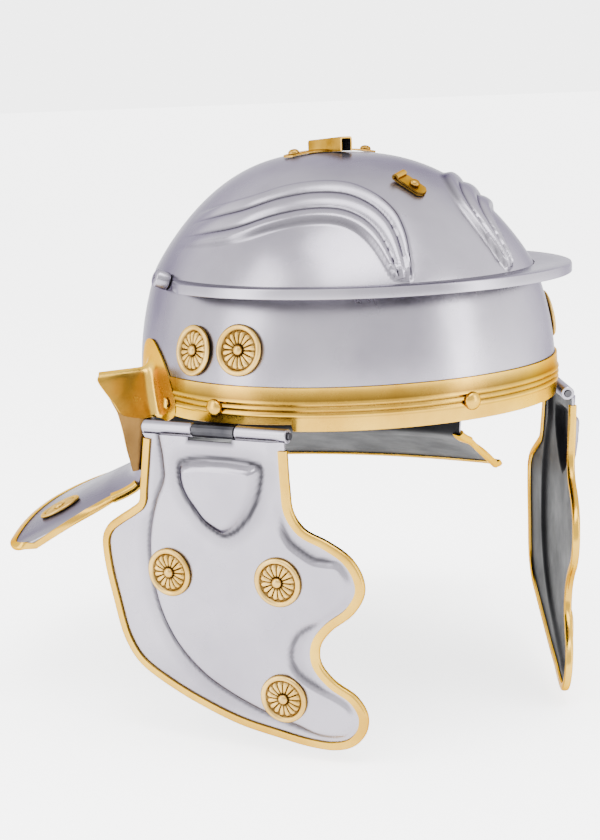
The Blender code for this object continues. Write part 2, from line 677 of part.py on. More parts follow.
def build_neck_binding():
    """Folded brass round the neck guard's edge, with a thicker sleeve at each front end."""
    grid = full_back_grid()
    normals = grid_normals(grid)
    rows = len(grid[0])
    start = BINDING_START_ROW
    path = [(0, j) for j in range(start, rows)]
    path += [(i, rows - 1) for i in range(1, len(grid) - 1)]
    path += [(len(grid) - 1, j) for j in range(rows - 1, start - 1, -1)]
    points = [grid[i][j] for i, j in path]
    frames = []
    for k, (i, j) in enumerate(path):
        inward = Vector((0, 0, 0))
        if i in (0, len(grid) - 1):
            inward += (grid[1 if i == 0 else i - 1][j] - grid[i][j]).normalized()
        if j == rows - 1:
            inward += (grid[i][j - 1] - grid[i][j]).normalized()
        frames.append((points[k], normals[i][j], -inward))
    ends = (frames[:SLEEVE_ROWS + 1], frames[-SLEEVE_ROWS - 1:])
    main = frames[SLEEVE_ROWS:-SLEEVE_ROWS]
    for which in (0, -1):
        edge, normal, out = main[which]
        beyond = main[1][0] if which == 0 else main[-2][0]
        main[which] = (edge + (beyond - edge).normalized() * GAP, normal, out)
    body = sweep([u_section(edge, normal, out, BINDING_WIDTH, BRASS) for edge, normal, out in main])
    add_body("neck_guard_binding", body, "brass")
    for name, stretch in zip(("left", "right"), ends):
        body = sweep([u_section(edge, normal, out, SLEEVE_WIDTH, SLEEVE_THICK)
                      for edge, normal, out in stretch])
        add_body("neck_guard_sleeve_" + name, body, "brass")


# Brow band section: share of the height, and share of the rib's depth
BAND_SECTION = ((0.0, 0.0), (0.31, 0.0), (0.36, 1.0), (0.45, 0.1), (0.52, 1.0), (0.60, 0.1),
                (0.68, 1.0), (0.73, 0.1), (1.0, 0.0))


def band_end(up):
    """Angle where the band meets the ear guard's flange, at a height."""
    edge = [(row["edge_up"] * EAR_GUARD_HEIGHT, row["edge_fore"] * EAR_GUARD_LENGTH)
            for row in EAR_ROWS[1:6]]
    fore = edge[0][1]
    for (low, fore_low), (high, fore_high) in zip(edge, edge[1:]):
        if low <= up <= high:
            fore = fore_low + (fore_high - fore_low) * (up - low) / (high - low)
    length = bowl_half_sizes(up)[0]
    return degrees(acos((fore + BAND_END_GAP) / length))


def band_points(deg, end_side=0):
    """One section of the band, outside points from the bottom up, then the inside ones."""
    low = rim_up(deg)
    outer = []
    inner = []
    for share, rib in BAND_SECTION:
        up = low + (BAND_HEIGHT - low) * share
        turn = end_side * band_end(up) if end_side else deg
        normal = wall_normal(turn, max(up, 0.5))
        wall = ring_point(turn, up)
        outer.append(wall + normal * (GAP + BAND_THICK + BAND_RIB * rib))
    for share in (1.0, 0.5, 0.0):
        up = low + (BAND_HEIGHT - low) * share
        turn = end_side * band_end(up) if end_side else deg
        inner.append(ring_point(turn, up) + wall_normal(turn, max(up, 0.5)) * GAP)
    return outer + inner


def build_brow_band():
    """Ribbed brass band round the front, from one ear guard to the other, with three rivets."""
    columns = [deg for deg in FRONT_COLUMNS if deg < BAND_LAST_DEG]
    sections = [band_points(-columns[-1], end_side=-1)]
    sections += [band_points(-deg) for deg in columns[:0:-1]]
    sections += [band_points(deg) for deg in columns]
    sections += [band_points(columns[-1], end_side=1)]
    add_body("brow_band", sweep(sections), "brass")
    for name, deg in (("front", 0.0), ("right", -BAND_RIVET_DEG), ("left", BAND_RIVET_DEG)):
        normal = wall_normal(deg, BAND_RIVET_UP)
        place = ring_point(deg, BAND_RIVET_UP) + normal * (GAP + BAND_THICK + BAND_RIB)
        dome_rivet("band_rivet_" + name, place, normal, BAND_RIVET_RADIUS, BAND_RIVET_RISE, "brass")


def brow_guard_reach(deg):
    """How far the guard stands out: most at the front, least at its side ends."""
    share = cos(radians(min(abs(deg) * 90 / BROW_GUARD_END_DEG, 90))) ** BROW_GUARD_ROUND
    end = min(1.0, (BROW_GUARD_END_DEG - abs(deg)) / BROW_GUARD_TAPER_DEG)
    reach = BROW_GUARD_SIDE + (BROW_GUARD_FRONT - BROW_GUARD_SIDE) * share
    return reach * (BROW_GUARD_END_SHARE + (1 - BROW_GUARD_END_SHARE) * end)


def build_brow_guard():
    """Steel strap that stands out over the brow, turned down at its edge, and its side rivets."""
    sections = []
    for k in range(-BROW_GUARD_STEPS, BROW_GUARD_STEPS + 1):
        deg = BROW_GUARD_END_DEG * k / BROW_GUARD_STEPS
        root = ring_point(deg, BROW_HEIGHT)
        out = wall_normal(deg, BROW_HEIGHT - 1.0)
        out = Vector((out.x, out.y, 0)).normalized()
        rise = Vector((0, 0, 1))
        slope = (out + rise * BROW_GUARD_SLOPE).normalized()
        reach = brow_guard_reach(deg)
        inner = root + out * GAP
        lip_in = reach - SHEET
        sections.append([
            inner + rise * (SHEET * 0.5), inner + slope * reach + rise * (SHEET * 0.5),
            inner + slope * reach - rise * BROW_GUARD_LIP,
            inner + slope * lip_in - rise * BROW_GUARD_LIP,
            inner + slope * lip_in - rise * (SHEET * 0.5), inner - rise * (SHEET * 0.5)])
    add_body("brow_guard", sweep(sections), "steel")
    for name, side in (("right", -1), ("left", 1)):
        deg = BROW_RIVET_DEG * side
        up = BROW_HEIGHT - BROW_RIVET_DROP
        normal = wall_normal(deg, up)
        place = ring_point(deg, up) + normal * GAP
        profile = [(BROW_RIVET_RADIUS, 0.0), (BROW_RIVET_RADIUS, BROW_RIVET_RISE * 0.9),
                   (BROW_RIVET_RADIUS * 0.85, BROW_RIVET_RISE)]
        add_body("brow_guard_rivet_" + name, lathe(profile, 14, place, normal), "steel")


def ear_sections():
    """L sections of the left ear guard: the flange lies on the skull, the lip stands out."""
    sections = []
    for row in EAR_ROWS:
        fore, up = row["fore"] * EAR_GUARD_LENGTH, row["up"] * EAR_GUARD_HEIGHT
        edge_fore, edge_up = row["edge_fore"] * EAR_GUARD_LENGTH, row["edge_up"] * EAR_GUARD_HEIGHT
        bend = side_point(fore, up)
        edge = side_point(edge_fore, edge_up)
        middle = side_point((fore + edge_fore) / 2, (up + edge_up) / 2)
        normal = side_normal(fore, up)
        middle_normal = side_normal((fore + edge_fore) / 2, (up + edge_up) / 2)
        edge_normal = side_normal(edge_fore, edge_up)
        inward = (edge - bend).normalized()
        reach = EAR_LIP_REACH * row["lip"]
        out = Vector((1, 0, 0))
        low = GAP
        high = GAP + BRASS
        sections.append([
            edge + edge_normal * high, middle + middle_normal * high,
            bend + normal * high + inward * BRASS, bend + out * reach + inward * BRASS,
            bend + out * reach, bend + normal * low, middle + middle_normal * low,
            edge + edge_normal * low])
    return sections


def build_ear_guards():
    """Bent brass guards over the ear openings, each on two small rivets."""
    sections = ear_sections()
    for name, side in (("left", 1), ("right", -1)):
        flipped = [[point if side > 0 else mirrored(point) for point in section]
                   for section in sections]
        add_body("ear_guard_" + name, sweep(flipped), "brass")
        for rivet in EAR_RIVETS:
            fore, up = rivet["fore"] * EAR_GUARD_LENGTH, rivet["up"] * EAR_GUARD_HEIGHT
            place = side_point(fore, up)
            normal = side_normal(fore, up)
            place = place + normal * (GAP + BRASS + GAP)
            if side < 0:
                place = mirrored(place)
                normal = mirrored(normal)
            dome_rivet("ear_rivet_" + rivet["name"] + "_" + name, place, normal,
                       EAR_RIVET_RADIUS, EAR_RIVET_RISE, "brass", sides=8)


def build_rosette(name, place, normal, radius, carrier=None):
    """Cast rosette with raised petals round a recessed field, and the knob that holds it."""
    seat = place + normal * GAP
    inner = radius - ROSETTE_RIM_WIDTH
    profile = [(radius, 0.0), (radius - ROSETTE_RIM_SLOPE, ROSETTE_RIM), (inner, ROSETTE_RIM),
               (inner - ROSETTE_RIM_SLOPE, ROSETTE_FIELD), (KNOB_RADIUS + ROSETTE_HEART, ROSETTE_FIELD)]
    body = lathe(profile, ROSETTE_SIDES, seat, normal, ROSETTE_PETAL, len(profile) - 2)
    add_body(name, body, "cast_brass", carrier, sharp_deg=25)
    knob = [(KNOB_RADIUS, 0.0), (KNOB_RADIUS * 0.95, KNOB_RISE * 0.5), (KNOB_RADIUS * 0.5, KNOB_RISE)]
    top = seat + normal * (ROSETTE_FIELD + GAP)
    add_body(name + "_knob", lathe(knob, 8, top, normal), "brass", carrier)


def build_bowl_rosettes():
    for side_name, side in (("right", -1), ("left", 1)):
        for item in BOWL_ROSETTES:
            deg = item["deg"] * side
            build_rosette("bowl_rosette_" + item["name"] + "_" + side_name,
                          ring_point(deg, item["up"]), wall_normal(deg, item["up"]),
                          BOWL_ROSETTE_RADIUS)


def build_neck_rosettes():
    """One rosette on each side of the neck guard's upper face."""
    grid = back_grid()
    spot = NECK_ROSETTE_SHARE["round"]
    index = next(k for k, share in enumerate(NAPE_SHARES) if share > spot)
    before = NAPE_SHARES[index - 1]
    blend = (spot - before) / (NAPE_SHARES[index] - before)
    first = len(NAPE_ROWS)
    low = grid[index - 1][first].lerp(grid[index][first], blend)
    high = grid[index - 1][-1].lerp(grid[index][-1], blend)
    along = grid[index][-1] - grid[index - 1][-1] + grid[index][first] - grid[index - 1][first]
    normal = (high - low).cross(along).normalized()
    if normal.z < 0:
        normal = -normal
    place = low.lerp(high, NECK_ROSETTE_SHARE["across"])
    build_rosette("neck_rosette_left", place, normal, NECK_ROSETTE_RADIUS)
    build_rosette("neck_rosette_right", mirrored(place), mirrored(normal), NECK_ROSETTE_RADIUS)


def build_crest_holder():
    """Brass tunnel along the crown on two tongues that lie on the dome."""
    body = bmesh.new()
    half = HOLDER_WIDTH / 2
    crown = Vector((0, -CROWN_SHIFT, CROWN_HEIGHT))

    def dome_at(x):
        """Height of the dome's outside above the crown's level, beside the crown."""
        low = 0.0
        high = 1.0
        for _ in range(40):
            share = (low + high) / 2
            out = BROW_HALF_WIDTH * cos(share * pi / 2)
            low, high = (share, high) if out > abs(x) else (low, share)
        return dome_up(share) - CROWN_HEIGHT

    seat = HOLDER_SEAT
    spans = (half, HOLDER_SPAN * 0.3, HOLDER_SPAN / 2)
    lows = [dome_at(x) + seat for x in spans]
    lift = HOLDER_HEIGHT
    bend = lows[0] + HOLDER_BEND
    outer = [(-spans[2], lows[2] + BRASS), (-spans[1], lows[1] + BRASS), (-half, bend + BRASS),
             (-half, lift), (half, lift), (half, bend + BRASS),
             (spans[1], lows[1] + BRASS), (spans[2], lows[2] + BRASS)]
    inner = [(spans[2], lows[2]), (spans[1], lows[1]), (half - BRASS, bend),
             (half - BRASS, lift - BRASS), (-half + BRASS, lift - BRASS),
             (-half + BRASS, bend), (-spans[1], lows[1]), (-spans[2], lows[2])]
    outline = outer + inner
    tongue = {0, 1, 6, 7, 8, 9, 14, 15}
    rings = []
    for end in (-1, 1):
        ring = []
        for k, (x, z) in enumerate(outline):
            length = HOLDER_TONGUE if k in tongue else HOLDER_LENGTH
            ring.append(body.verts.new(crown + Vector((x, end * length / 2, z))))
        rings.append(ring)
    count = len(outline)
    for k in range(count):
        body.faces.new((rings[0][k], rings[0][(k + 1) % count],
                        rings[1][(k + 1) % count], rings[1][k]))
    last = count - 1
    for ring in rings:
        for k in range(count // 2 - 1):
            body.faces.new((ring[k], ring[k + 1], ring[last - k - 1], ring[last - k]))
    add_body("crest_holder", body, "brass")
    for name, side in (("right", -1), ("left", 1)):
        x = HOLDER_RIVET_OUT * side
        slope = (dome_at(HOLDER_RIVET_OUT + 1) - dome_at(HOLDER_RIVET_OUT - 1)) / 2
        normal = Vector((-slope * side, 0, 1)).normalized()
        place = crown + Vector((x, 0, dome_at(HOLDER_RIVET_OUT) + seat + BRASS + 0.2))
        dome_rivet("crest_holder_rivet_" + name, place, normal, HOLDER_RIVET_RADIUS,
                   HOLDER_RIVET_RISE, "brass", sides=10)


def dome_share_at(y):
    """Dome share of the front middle line at a distance in front of the centre."""
    low = 0.0
    high = 1.0
    for _ in range(40):
        share = (low + high) / 2
        low, high = (share, high) if bowl_point(0, share).y < y else (low, share)
    return share


def hook_outline(corner):
    """Side view of the hook, along the strip and above the dome; corner shortens its foot."""
    lower = HOOK_SEAT
    upper = lower + BRASS + GAP
    foot = -HOOK_LENGTH * 0.385 + corner
    centre = HOOK_LENGTH * 0.52
    centre_up = lower + HOOK_LIFT + HOOK_LOOP_RADIUS
    bore = HOOK_LOOP_RADIUS - BRASS
    angles = [-pi / 2 + 2 * pi * k / HOOK_STEPS * HOOK_TURN for k in range(1, HOOK_STEPS)]
    outline = [(foot, lower), (centre, lower + HOOK_LIFT)]
    outline += [(centre + HOOK_LOOP_RADIUS * cos(a), centre_up + HOOK_LOOP_RADIUS * sin(a)) for a in angles]
    outline += [(centre - HOOK_LOOP_RADIUS * 1.55, lower + 2 * BRASS + HOOK_MOUTH), (foot, upper + BRASS)]
    outline += [(foot, upper), (centre - HOOK_LOOP_RADIUS * 1.35, lower + BRASS + HOOK_MOUTH)]
    outline += [(centre + bore * cos(a), centre_up + bore * sin(a)) for a in reversed(angles)]
    outline += [(centre, lower + HOOK_LIFT + BRASS), (foot, lower + BRASS)]
    return outline


def build_crest_hook():
    """Doubled brass strip on the front of the dome, rolled into a loop at its upper end."""
    share = dome_share_at(HOOK_CENTRE_Y)
    place = bowl_point(HOOK_DEG, share)
    normal = dome_normal(HOOK_DEG, share)
    side = (Vector((1, 0, 0)) - normal * normal.x).normalized()
    rise = side.cross(normal)
    if rise.z < 0:
        rise = -rise
    twist = radians(HOOK_TWIST)
    climb = rise * cos(twist) - side * sin(twist)
    across = side * cos(twist) + rise * sin(twist)
    half = HOOK_WIDTH / 2
    sections = []
    for x, corner in ((-half, HOOK_CORNER), (HOOK_CORNER - half, 0.0),
                      (half - HOOK_CORNER, 0.0), (half, HOOK_CORNER)):
        sections.append([place + across * x + climb * a + normal * (b - a * a / (2 * HOOK_BED_RADIUS))
                         for a, b in hook_outline(corner)])
    add_body("crest_hook", sweep(sections), "brass")
    head = place + normal * (HOOK_SEAT + 2 * BRASS + 3 * GAP)
    dome_rivet("crest_hook_rivet", head, normal, HOOK_RIVET_RADIUS, HOOK_RIVET_RISE, "brass",
               sides=10)


def hinge_frame(side):
    """Front end of the pin, direction towards the rear and outward direction."""
    toe = radians(HINGE_TOE_IN)
    rear = Vector((sin(toe), cos(toe), 0))
    out = Vector((cos(toe), -sin(toe), 0))
    front = HINGE_FRONT.copy()
    if side < 0:
        return mirrored(front), mirrored(rear), mirrored(out)
    return front, rear, out


def cheek_bow(fore, down):
    """Bow of the plate: towards the head at its front, rear and bottom, and straight at the hinge."""
    middle = (fore + HINGE_LENGTH / 2) / (CHEEK_WIDTH / 2)
    below = max(0.0, min(1.0, down / CHEEK_STRAIGHT_TOP - 0.15))
    return -CHEEK_BOW_LENGTH * below * middle ** 2 - CHEEK_BOW_HEIGHT * (down / CHEEK_HEIGHT) ** 2


def cheek_place(share_fore, share_down):
    """Plate coordinates in mm: forwards from the pin's front end, and down from the pin."""
    return CHEEK_WIDTH * (share_fore - CHEEK_REAR_SHARE), CHEEK_HEIGHT * share_down


def outline_points(rows):
    return [cheek_place(row["fore"], row["down"]) for row in rows]


def edge_away(line, k):
    """Direction away from the plate at a point of its trimmed edge."""
    ahead = line[min(k + 1, len(line) - 1)]
    behind = line[max(k - 1, 0)]
    return Vector((behind[1] - ahead[1], ahead[0] - behind[0])).normalized()


def set_in(line, depth):
    """The line moved in from the trim's outer face to the sheet's own edge."""
    moved = []
    for k, (x, y) in enumerate(line):
        away = edge_away(line, k)
        moved.append((x - away.x * depth, y - away.y * depth))
    return moved


CHEEK_EDGE = set_in(outline_points(CHEEK_OUTLINE), GAP + BRASS)
PANEL_EDGE = outline_points(CHEEK_PANEL)
SHIELD_EDGE = outline_points(CHEEK_SHIELD_OUTLINE)


def distance_to_line(x, y, line, closed):
    """Shortest distance to a line of points."""
    pairs = list(zip(line, line[1:]))
    if closed:
        pairs.append((line[-1], line[0]))
    best = 1e9
    for (x1, y1), (x2, y2) in pairs:
        dx = x2 - x1
        dy = y2 - y1
        t = ((x - x1) * dx + (y - y1) * dy) / (dx * dx + dy * dy)
        t = max(0.0, min(1.0, t))
        best = min(best, (x1 + dx * t - x) ** 2 + (y1 + dy * t - y) ** 2)
    return sqrt(best)


def inside(x, y, line):
    hit = False
    for (x1, y1), (x2, y2) in zip(line, line[1:] + line[:1]):
        if (y1 > y) != (y2 > y) and x < (x2 - x1) * (y - y1) / (y2 - y1) + x1:
            hit = not hit
    return hit


def smooth_step(value, width):
    share = max(0.0, min(1.0, value / width + 0.5))
    return share * share * (3 - 2 * share)


def cheek_rise(fore, down):
    """Height of the embossed panel and shield at a place of the plate."""
    panel = distance_to_line(fore, down, PANEL_EDGE, True)
    panel = panel if inside(fore, down, PANEL_EDGE) else -panel
    shield = distance_to_line(fore, down, SHIELD_EDGE, True)
    shield = shield if inside(fore, down, SHIELD_EDGE) else -shield
    edge = distance_to_line(fore, down, CHEEK_EDGE, False)
    fade = smooth_step(edge - CHEEK_TRIM_WIDTH - TRIM_ROOM, CHEEK_SLOPE)
    rise = CHEEK_STEP * smooth_step(panel, CHEEK_SLOPE) * fade
    return rise + CHEEK_SHIELD * smooth_step(shield - CHEEK_SLOPE / 2, CHEEK_SLOPE)


def cheek_point(frame, fore, down, lift):
    """A point of the plate in the helmet's frame; lift is from the plate's outer face."""
    front, rear, out = frame
    height = ROLL_RADIUS + cheek_bow(fore, down) + lift
    return front - rear * fore + out * height + Vector((0, 0, -down))


def cheek_normal(frame, fore, down):
    a = cheek_point(frame, fore + 1, down, 0) - cheek_point(frame, fore - 1, down, 0)
    b = cheek_point(frame, fore, down + 1, 0) - cheek_point(frame, fore, down - 1, 0)
    normal = a.cross(b).normalized()
    return normal if normal.dot(frame[2]) > 0 else -normal


def plate_outline():
    """Closed outline of the flat plate: the trimmed edge, then the top with the knuckle's gap."""
    top = PIN_RADIUS + PIN_CLEARANCE + ROLL_JOIN
    gap_down = ROLL_RADIUS + KNUCKLE_ROOM
    gap_front = -KNUCKLE_START + KNUCKLE_GAP
    gap_rear = -KNUCKLE_START - KNUCKLE_LENGTH - KNUCKLE_GAP
    line = list(CHEEK_EDGE)
    line.append((-ROLL_INSET, top))
    line += [(gap_front, top), (gap_front, gap_down), (gap_rear, gap_down), (gap_rear, top)]
    line.append((-HINGE_LENGTH + ROLL_INSET, top))
    return line


def plate_samples(line):
    """Points inside the plate: along both sides of each embossed edge, and a coarse grid."""
    found = []

    def keep(x, y, room, edge_room=CHEEK_TRIM_WIDTH + 3.0):
        near = any((x - a) ** 2 + (y - b) ** 2 < room ** 2 for a, b in found)
        clear = distance_to_line(x, y, CHEEK_EDGE, False) > edge_room
        if inside(x, y, line) and clear and distance_to_line(x, y, line, True) > 2.2 and not near:
            found.append((x, y))

    for k, (x, y) in enumerate(CHEEK_EDGE):
        away = edge_away(CHEEK_EDGE, k)
        keep(x - away.x * TRIM_BED, y - away.y * TRIM_BED, 3.4, TRIM_BED - 0.4)
        if k + 1 < len(CHEEK_EDGE):
            x2, y2 = CHEEK_EDGE[k + 1]
            away = (away + edge_away(CHEEK_EDGE, k + 1)).normalized()
            keep((x + x2) / 2 - away.x * TRIM_BED, (y + y2) / 2 - away.y * TRIM_BED, 5.0, TRIM_BED - 0.4)

    for contour, offsets, room in ((SHIELD_EDGE, (0.0, 3.0), 2.4), (PANEL_EDGE, (-1.5, 1.5), 2.6)):
        for (x1, y1), (x2, y2) in zip(contour, contour[1:] + contour[:1]):
            length = sqrt((x2 - x1) ** 2 + (y2 - y1) ** 2)
            normal = ((y2 - y1) / length, -(x2 - x1) / length)
            for offset in offsets:
                for t in (0.25, 0.75) if length > 14 else (0.5,):
                    x = x1 + (x2 - x1) * t + normal[0] * offset
                    y = y1 + (y2 - y1) * t + normal[1] * offset
                    keep(x, y, room)
    for i in range(-7, 3):
        for j in range(1, 10):
            keep((i + 0.5 * (j % 2)) * GRID_STEP, j * GRID_STEP, GRID_STEP * 0.55)
    return found


def flat_plate():
    """Triangles of the flat plate in its own coordinates."""
    line = plate_outline()
    points = [Vector(p) for p in line] + [Vector(p) for p in plate_samples(line)]
    edges = [(k, (k + 1) % len(line)) for k in range(len(line))]
    verts, _, faces, _, _, _ = delaunay_2d_cdt(points, edges, [], 1, 1e-4)
    return verts, faces


def add_tube(body, front, rear, out, start, length, outer, inner, sides=12):
    """A closed tube round the hinge axis; with no inner radius it is a solid pin."""
    up = Vector((0, 0, 1))
    ends = []
    for place in (start, start + length):
        rings = []
        for radius in (outer, inner):
            if radius:
                rings.append([body.verts.new(front + rear * place + (out * cos(a) + up * sin(a)) * radius)
                              for a in (2 * pi * k / sides for k in range(sides))])
        ends.append(rings)
    for level in range(len(ends[0])):
        for k in range(sides):
            n = (k + 1) % sides
            body.faces.new((ends[0][level][k], ends[0][level][n], ends[1][level][n], ends[1][level][k]))
    for rings in ends:
        if inner:
            for k in range(sides):
                n = (k + 1) % sides
                body.faces.new((rings[0][k], rings[0][n], rings[1][n], rings[1][k]))
        else:
            body.faces.new(rings[0])


def join_guide(target, name, body, carrier):
    """Unite a body with a finished piece, by a guide object that isn't part of the helmet."""
    guide = add_body(name, body, "steel", carrier)
    guide.hide_render = True
    guide.display_type = "WIRE"
    union = target.modifiers.new("union", "BOOLEAN")
    union.operation = "UNION"
    union.solver = "EXACT"
    union.object = guide


def build_cheek(name, side):
    """One hinged cheek plate with its rolls, edging and rosettes, about its own hinge axis."""
    frame = hinge_frame(side)
    front, rear, out = frame
    carrier = bpy.data.objects.new("cheek_axis_" + name, None)
    carrier.location = (front + rear * (HINGE_LENGTH / 2)) * MM
    bpy.context.scene.collection.objects.link(carrier)
    flat, faces = flat_plate()
    body = bmesh.new()
    layers = []
    for depth in (0.0, -SHEET):
        layer = []
        for vert in flat:
            rise = cheek_rise(vert.x, vert.y) + depth
            layer.append(body.verts.new(cheek_point(frame, vert.x, vert.y, rise)))
        layers.append(layer)
        for face in faces:
            body.faces.new([layer[k] for k in face])
    border = {}
    for face in faces:
        for a, b in zip(face, face[1:] + face[:1]):
            key = (min(a, b), max(a, b))
            border[key] = border.get(key, 0) + 1
    for (a, b), uses in border.items():
        if uses == 1:
            body.faces.new((layers[0][a], layers[0][b], layers[1][b], layers[1][a]))
    plate = add_body("cheek_plate_" + name, body, "steel", carrier, sharp_deg=40)
    rolls = bmesh.new()
    bore = PIN_RADIUS + PIN_CLEARANCE
    rear_start = KNUCKLE_START + KNUCKLE_LENGTH + KNUCKLE_GAP
    add_tube(rolls, front, rear, out, 0.0, KNUCKLE_START - KNUCKLE_GAP, ROLL_RADIUS, bore)
    add_tube(rolls, front, rear, out, rear_start, HINGE_LENGTH - rear_start, ROLL_RADIUS, bore)
    join_guide(plate, "cheek_rolls_" + name, rolls, carrier)
    sections = []
    for k, (fore, down) in enumerate(CHEEK_EDGE):
        away = edge_away(CHEEK_EDGE, k)
        section = []
        far = GAP + BRASS
        deep = SHEET + GAP
        for a, b in ((-CHEEK_TRIM_WIDTH, GAP), (-CHEEK_TRIM_WIDTH, far), (far, far),
                     (far, -deep - BRASS), (-CHEEK_TRIM_WIDTH, -deep - BRASS),
                     (-CHEEK_TRIM_WIDTH, -deep), (GAP, -deep), (GAP, GAP)):
            section.append(cheek_point(frame, fore + away.x * a, down + away.y * a, b))
        sections.append(section)
    add_body("cheek_trim_" + name, sweep(sections), "brass", carrier)
    for item in CHEEK_ROSETTES:
        fore, down = cheek_place(item["fore"], item["down"])
        place = cheek_point(frame, fore, down, CHEEK_STEP)
        normal = cheek_normal(frame, fore, down)
        build_rosette("cheek_rosette_" + item["name"] + "_" + name, place, normal,
                      CHEEK_ROSETTE_RADIUS, carrier)


def build_hinge_fixed(name, side):
    """The steel strap inside the rim with the centre knuckle, and the pin through the hinge."""
    front, rear, out = hinge_frame(side)
    bore = PIN_RADIUS + PIN_CLEARANCE
    sections = []
    for k in range(STRAP_COLUMNS):
        along = KNUCKLE_START + KNUCKLE_LENGTH * k / (STRAP_COLUMNS - 1)
        axis = front + rear * along
        upper = []
        lower = []
        top = STRAP_TOP
        for reach in (bore + ROLL_JOIN, ROLL_RADIUS + ROLL_INSET):
            upper.append(axis - out * reach + Vector((0, 0, top)))
            lower.append(axis - out * reach + Vector((0, 0, top - SHEET)))
        wall_axis = axis - out * STRAP_INSET
        for up, upright in ((2.4, False), (STRAP_RISE * 0.38, True), (STRAP_RISE * 0.6, True),
                            (STRAP_RISE, True)):
            fore = -wall_axis.y
            wall = side_point(fore, max(up, 0.5))
            normal = side_normal(fore, max(up, 1.5))
            if side < 0:
                wall = mirrored(wall)
                normal = mirrored(normal)
            wall.z = up
            near = SHEET + STRAP_ROOM
            if upright:
                upper.append(wall - normal * near)
                lower.append(wall - normal * (near + SHEET))
            else:
                flat = Vector((normal.x, normal.y, 0)).normalized()
                corner = axis.z + top - up
                upper.append(wall - flat * near + Vector((0, 0, corner)))
                lower.append(wall - flat * (near + SHEET) + Vector((0, 0, corner - SHEET)))
        sections.append(upper + lower[::-1])
    strap = add_body("hinge_strap_" + name, sweep(sections), "steel")
    knuckle = bmesh.new()
    add_tube(knuckle, front, rear, out, KNUCKLE_START, KNUCKLE_LENGTH, ROLL_RADIUS, bore)
    join_guide(strap, "knuckle_guide_" + name, knuckle, None)
    pin = bmesh.new()
    add_tube(pin, front, rear, out, -PIN_OVERHANG, HINGE_LENGTH + 2 * PIN_OVERHANG, PIN_RADIUS, 0.0, 12)
    add_body("hinge_pin_" + name, pin, "steel")


def build_helmet():
    clear_scene()
    build_skull()
    build_neck_binding()
    build_brow_band()
    build_brow_guard()
    build_ear_guards()
    build_bowl_rosettes()
    build_neck_rosettes()
    build_crest_holder()
    build_crest_hook()
    for name, side in (("right", -1), ("left", 1)):
        build_hinge_fixed(name, side)
        build_cheek(name, side)


build_helmet()
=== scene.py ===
import bpy
import bmesh
from math import acos, cos, degrees, dist, pi, radians, sin, sqrt, tan
import numpy as np
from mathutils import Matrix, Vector
from mathutils.geometry import delaunay_2d_cdt


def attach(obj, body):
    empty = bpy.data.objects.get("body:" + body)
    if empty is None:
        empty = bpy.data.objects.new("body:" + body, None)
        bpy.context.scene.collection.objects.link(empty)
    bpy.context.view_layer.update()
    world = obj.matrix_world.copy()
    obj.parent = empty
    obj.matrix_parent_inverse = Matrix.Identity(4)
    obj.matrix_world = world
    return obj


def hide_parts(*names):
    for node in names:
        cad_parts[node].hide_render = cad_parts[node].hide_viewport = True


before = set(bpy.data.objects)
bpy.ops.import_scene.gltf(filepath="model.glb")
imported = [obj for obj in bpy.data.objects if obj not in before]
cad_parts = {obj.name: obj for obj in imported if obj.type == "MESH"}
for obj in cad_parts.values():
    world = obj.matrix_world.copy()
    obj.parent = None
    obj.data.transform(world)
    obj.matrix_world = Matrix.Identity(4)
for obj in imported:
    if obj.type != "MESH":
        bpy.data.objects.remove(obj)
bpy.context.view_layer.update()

# All lengths are millimetres until a mesh is made: +Z up, front towards -Y, wearer's right is -X.
shell = "shell"
steelSheet = 1.2
brassSheet = 0.8
seatGap = 0.3
sides = (("right", -1), ("left", 1))
upward = np.array([0, 0, 1.0])
weldGap = 0.00001                                             # metres, as is the next
thinEdge = 0.000002


# small helpers for numbers and meshes

def unit(v):
    v = np.asarray(v, float)
    return v / np.maximum(np.linalg.norm(v, axis=-1, keepdims=True), 1e-9)


def flip(points):
    return np.asarray(points) * np.array([-1.0, 1.0, 1.0])


def towards(v, guide):
    return v if v @ guide > 0 else -v


def smoothRows(table, steps, closed=False, weights=1.0):
    # a smooth curve through every row of a table, parametrised by the distance between weighted rows
    rows = np.asarray(table, float) * weights
    if closed:
        rows = np.vstack([rows[-1:], rows, rows[:2]])
    else:
        rows = np.vstack([2 * rows[0] - rows[1], rows, 2 * rows[-1] - rows[-2]])
    gaps = np.sqrt(np.maximum(np.linalg.norm(np.diff(rows, axis=0), axis=1), 1e-6))
    knots = np.concatenate([[0], np.cumsum(gaps)])

    def between(a, b, start, end, t):
        return (end - t) / (end - start) * a + (t - start) / (end - start) * b

    out = []
    for k in range(1, len(rows) - 2):
        t0, t1, t2, t3 = knots[k - 1:k + 3]
        p0, p1, p2, p3 = rows[k - 1:k + 3]
        for t in t1 + (t2 - t1) * np.arange(steps) / steps:
            a1, a2, a3 = between(p0, p1, t0, t1, t), between(p1, p2, t1, t2, t), between(p2, p3, t2, t3, t)
            b1, b2 = between(a1, a2, t0, t2, t), between(a2, a3, t1, t3, t)
            out.append(between(b1, b2, t1, t2, t))
    if not closed:
        out.append(rows[-2])
    return np.array(out) / weights


def ease(share):
    # from 0 to 1 with a soft start and end
    share = np.clip(share, 0, 1)
    return share * share * (3 - 2 * share)


def gridFaces(columns, rows, offset=0, closeRows=False, closeColumns=False):
    faces = []
    for i in range(columns if closeColumns else columns - 1):
        a, b = offset + i * rows, offset + (i + 1) % columns * rows
        for j in range(rows if closeRows else rows - 1):
            k = (j + 1) % rows
            faces.append((a + j, b + j, b + k, a + k))
    return faces


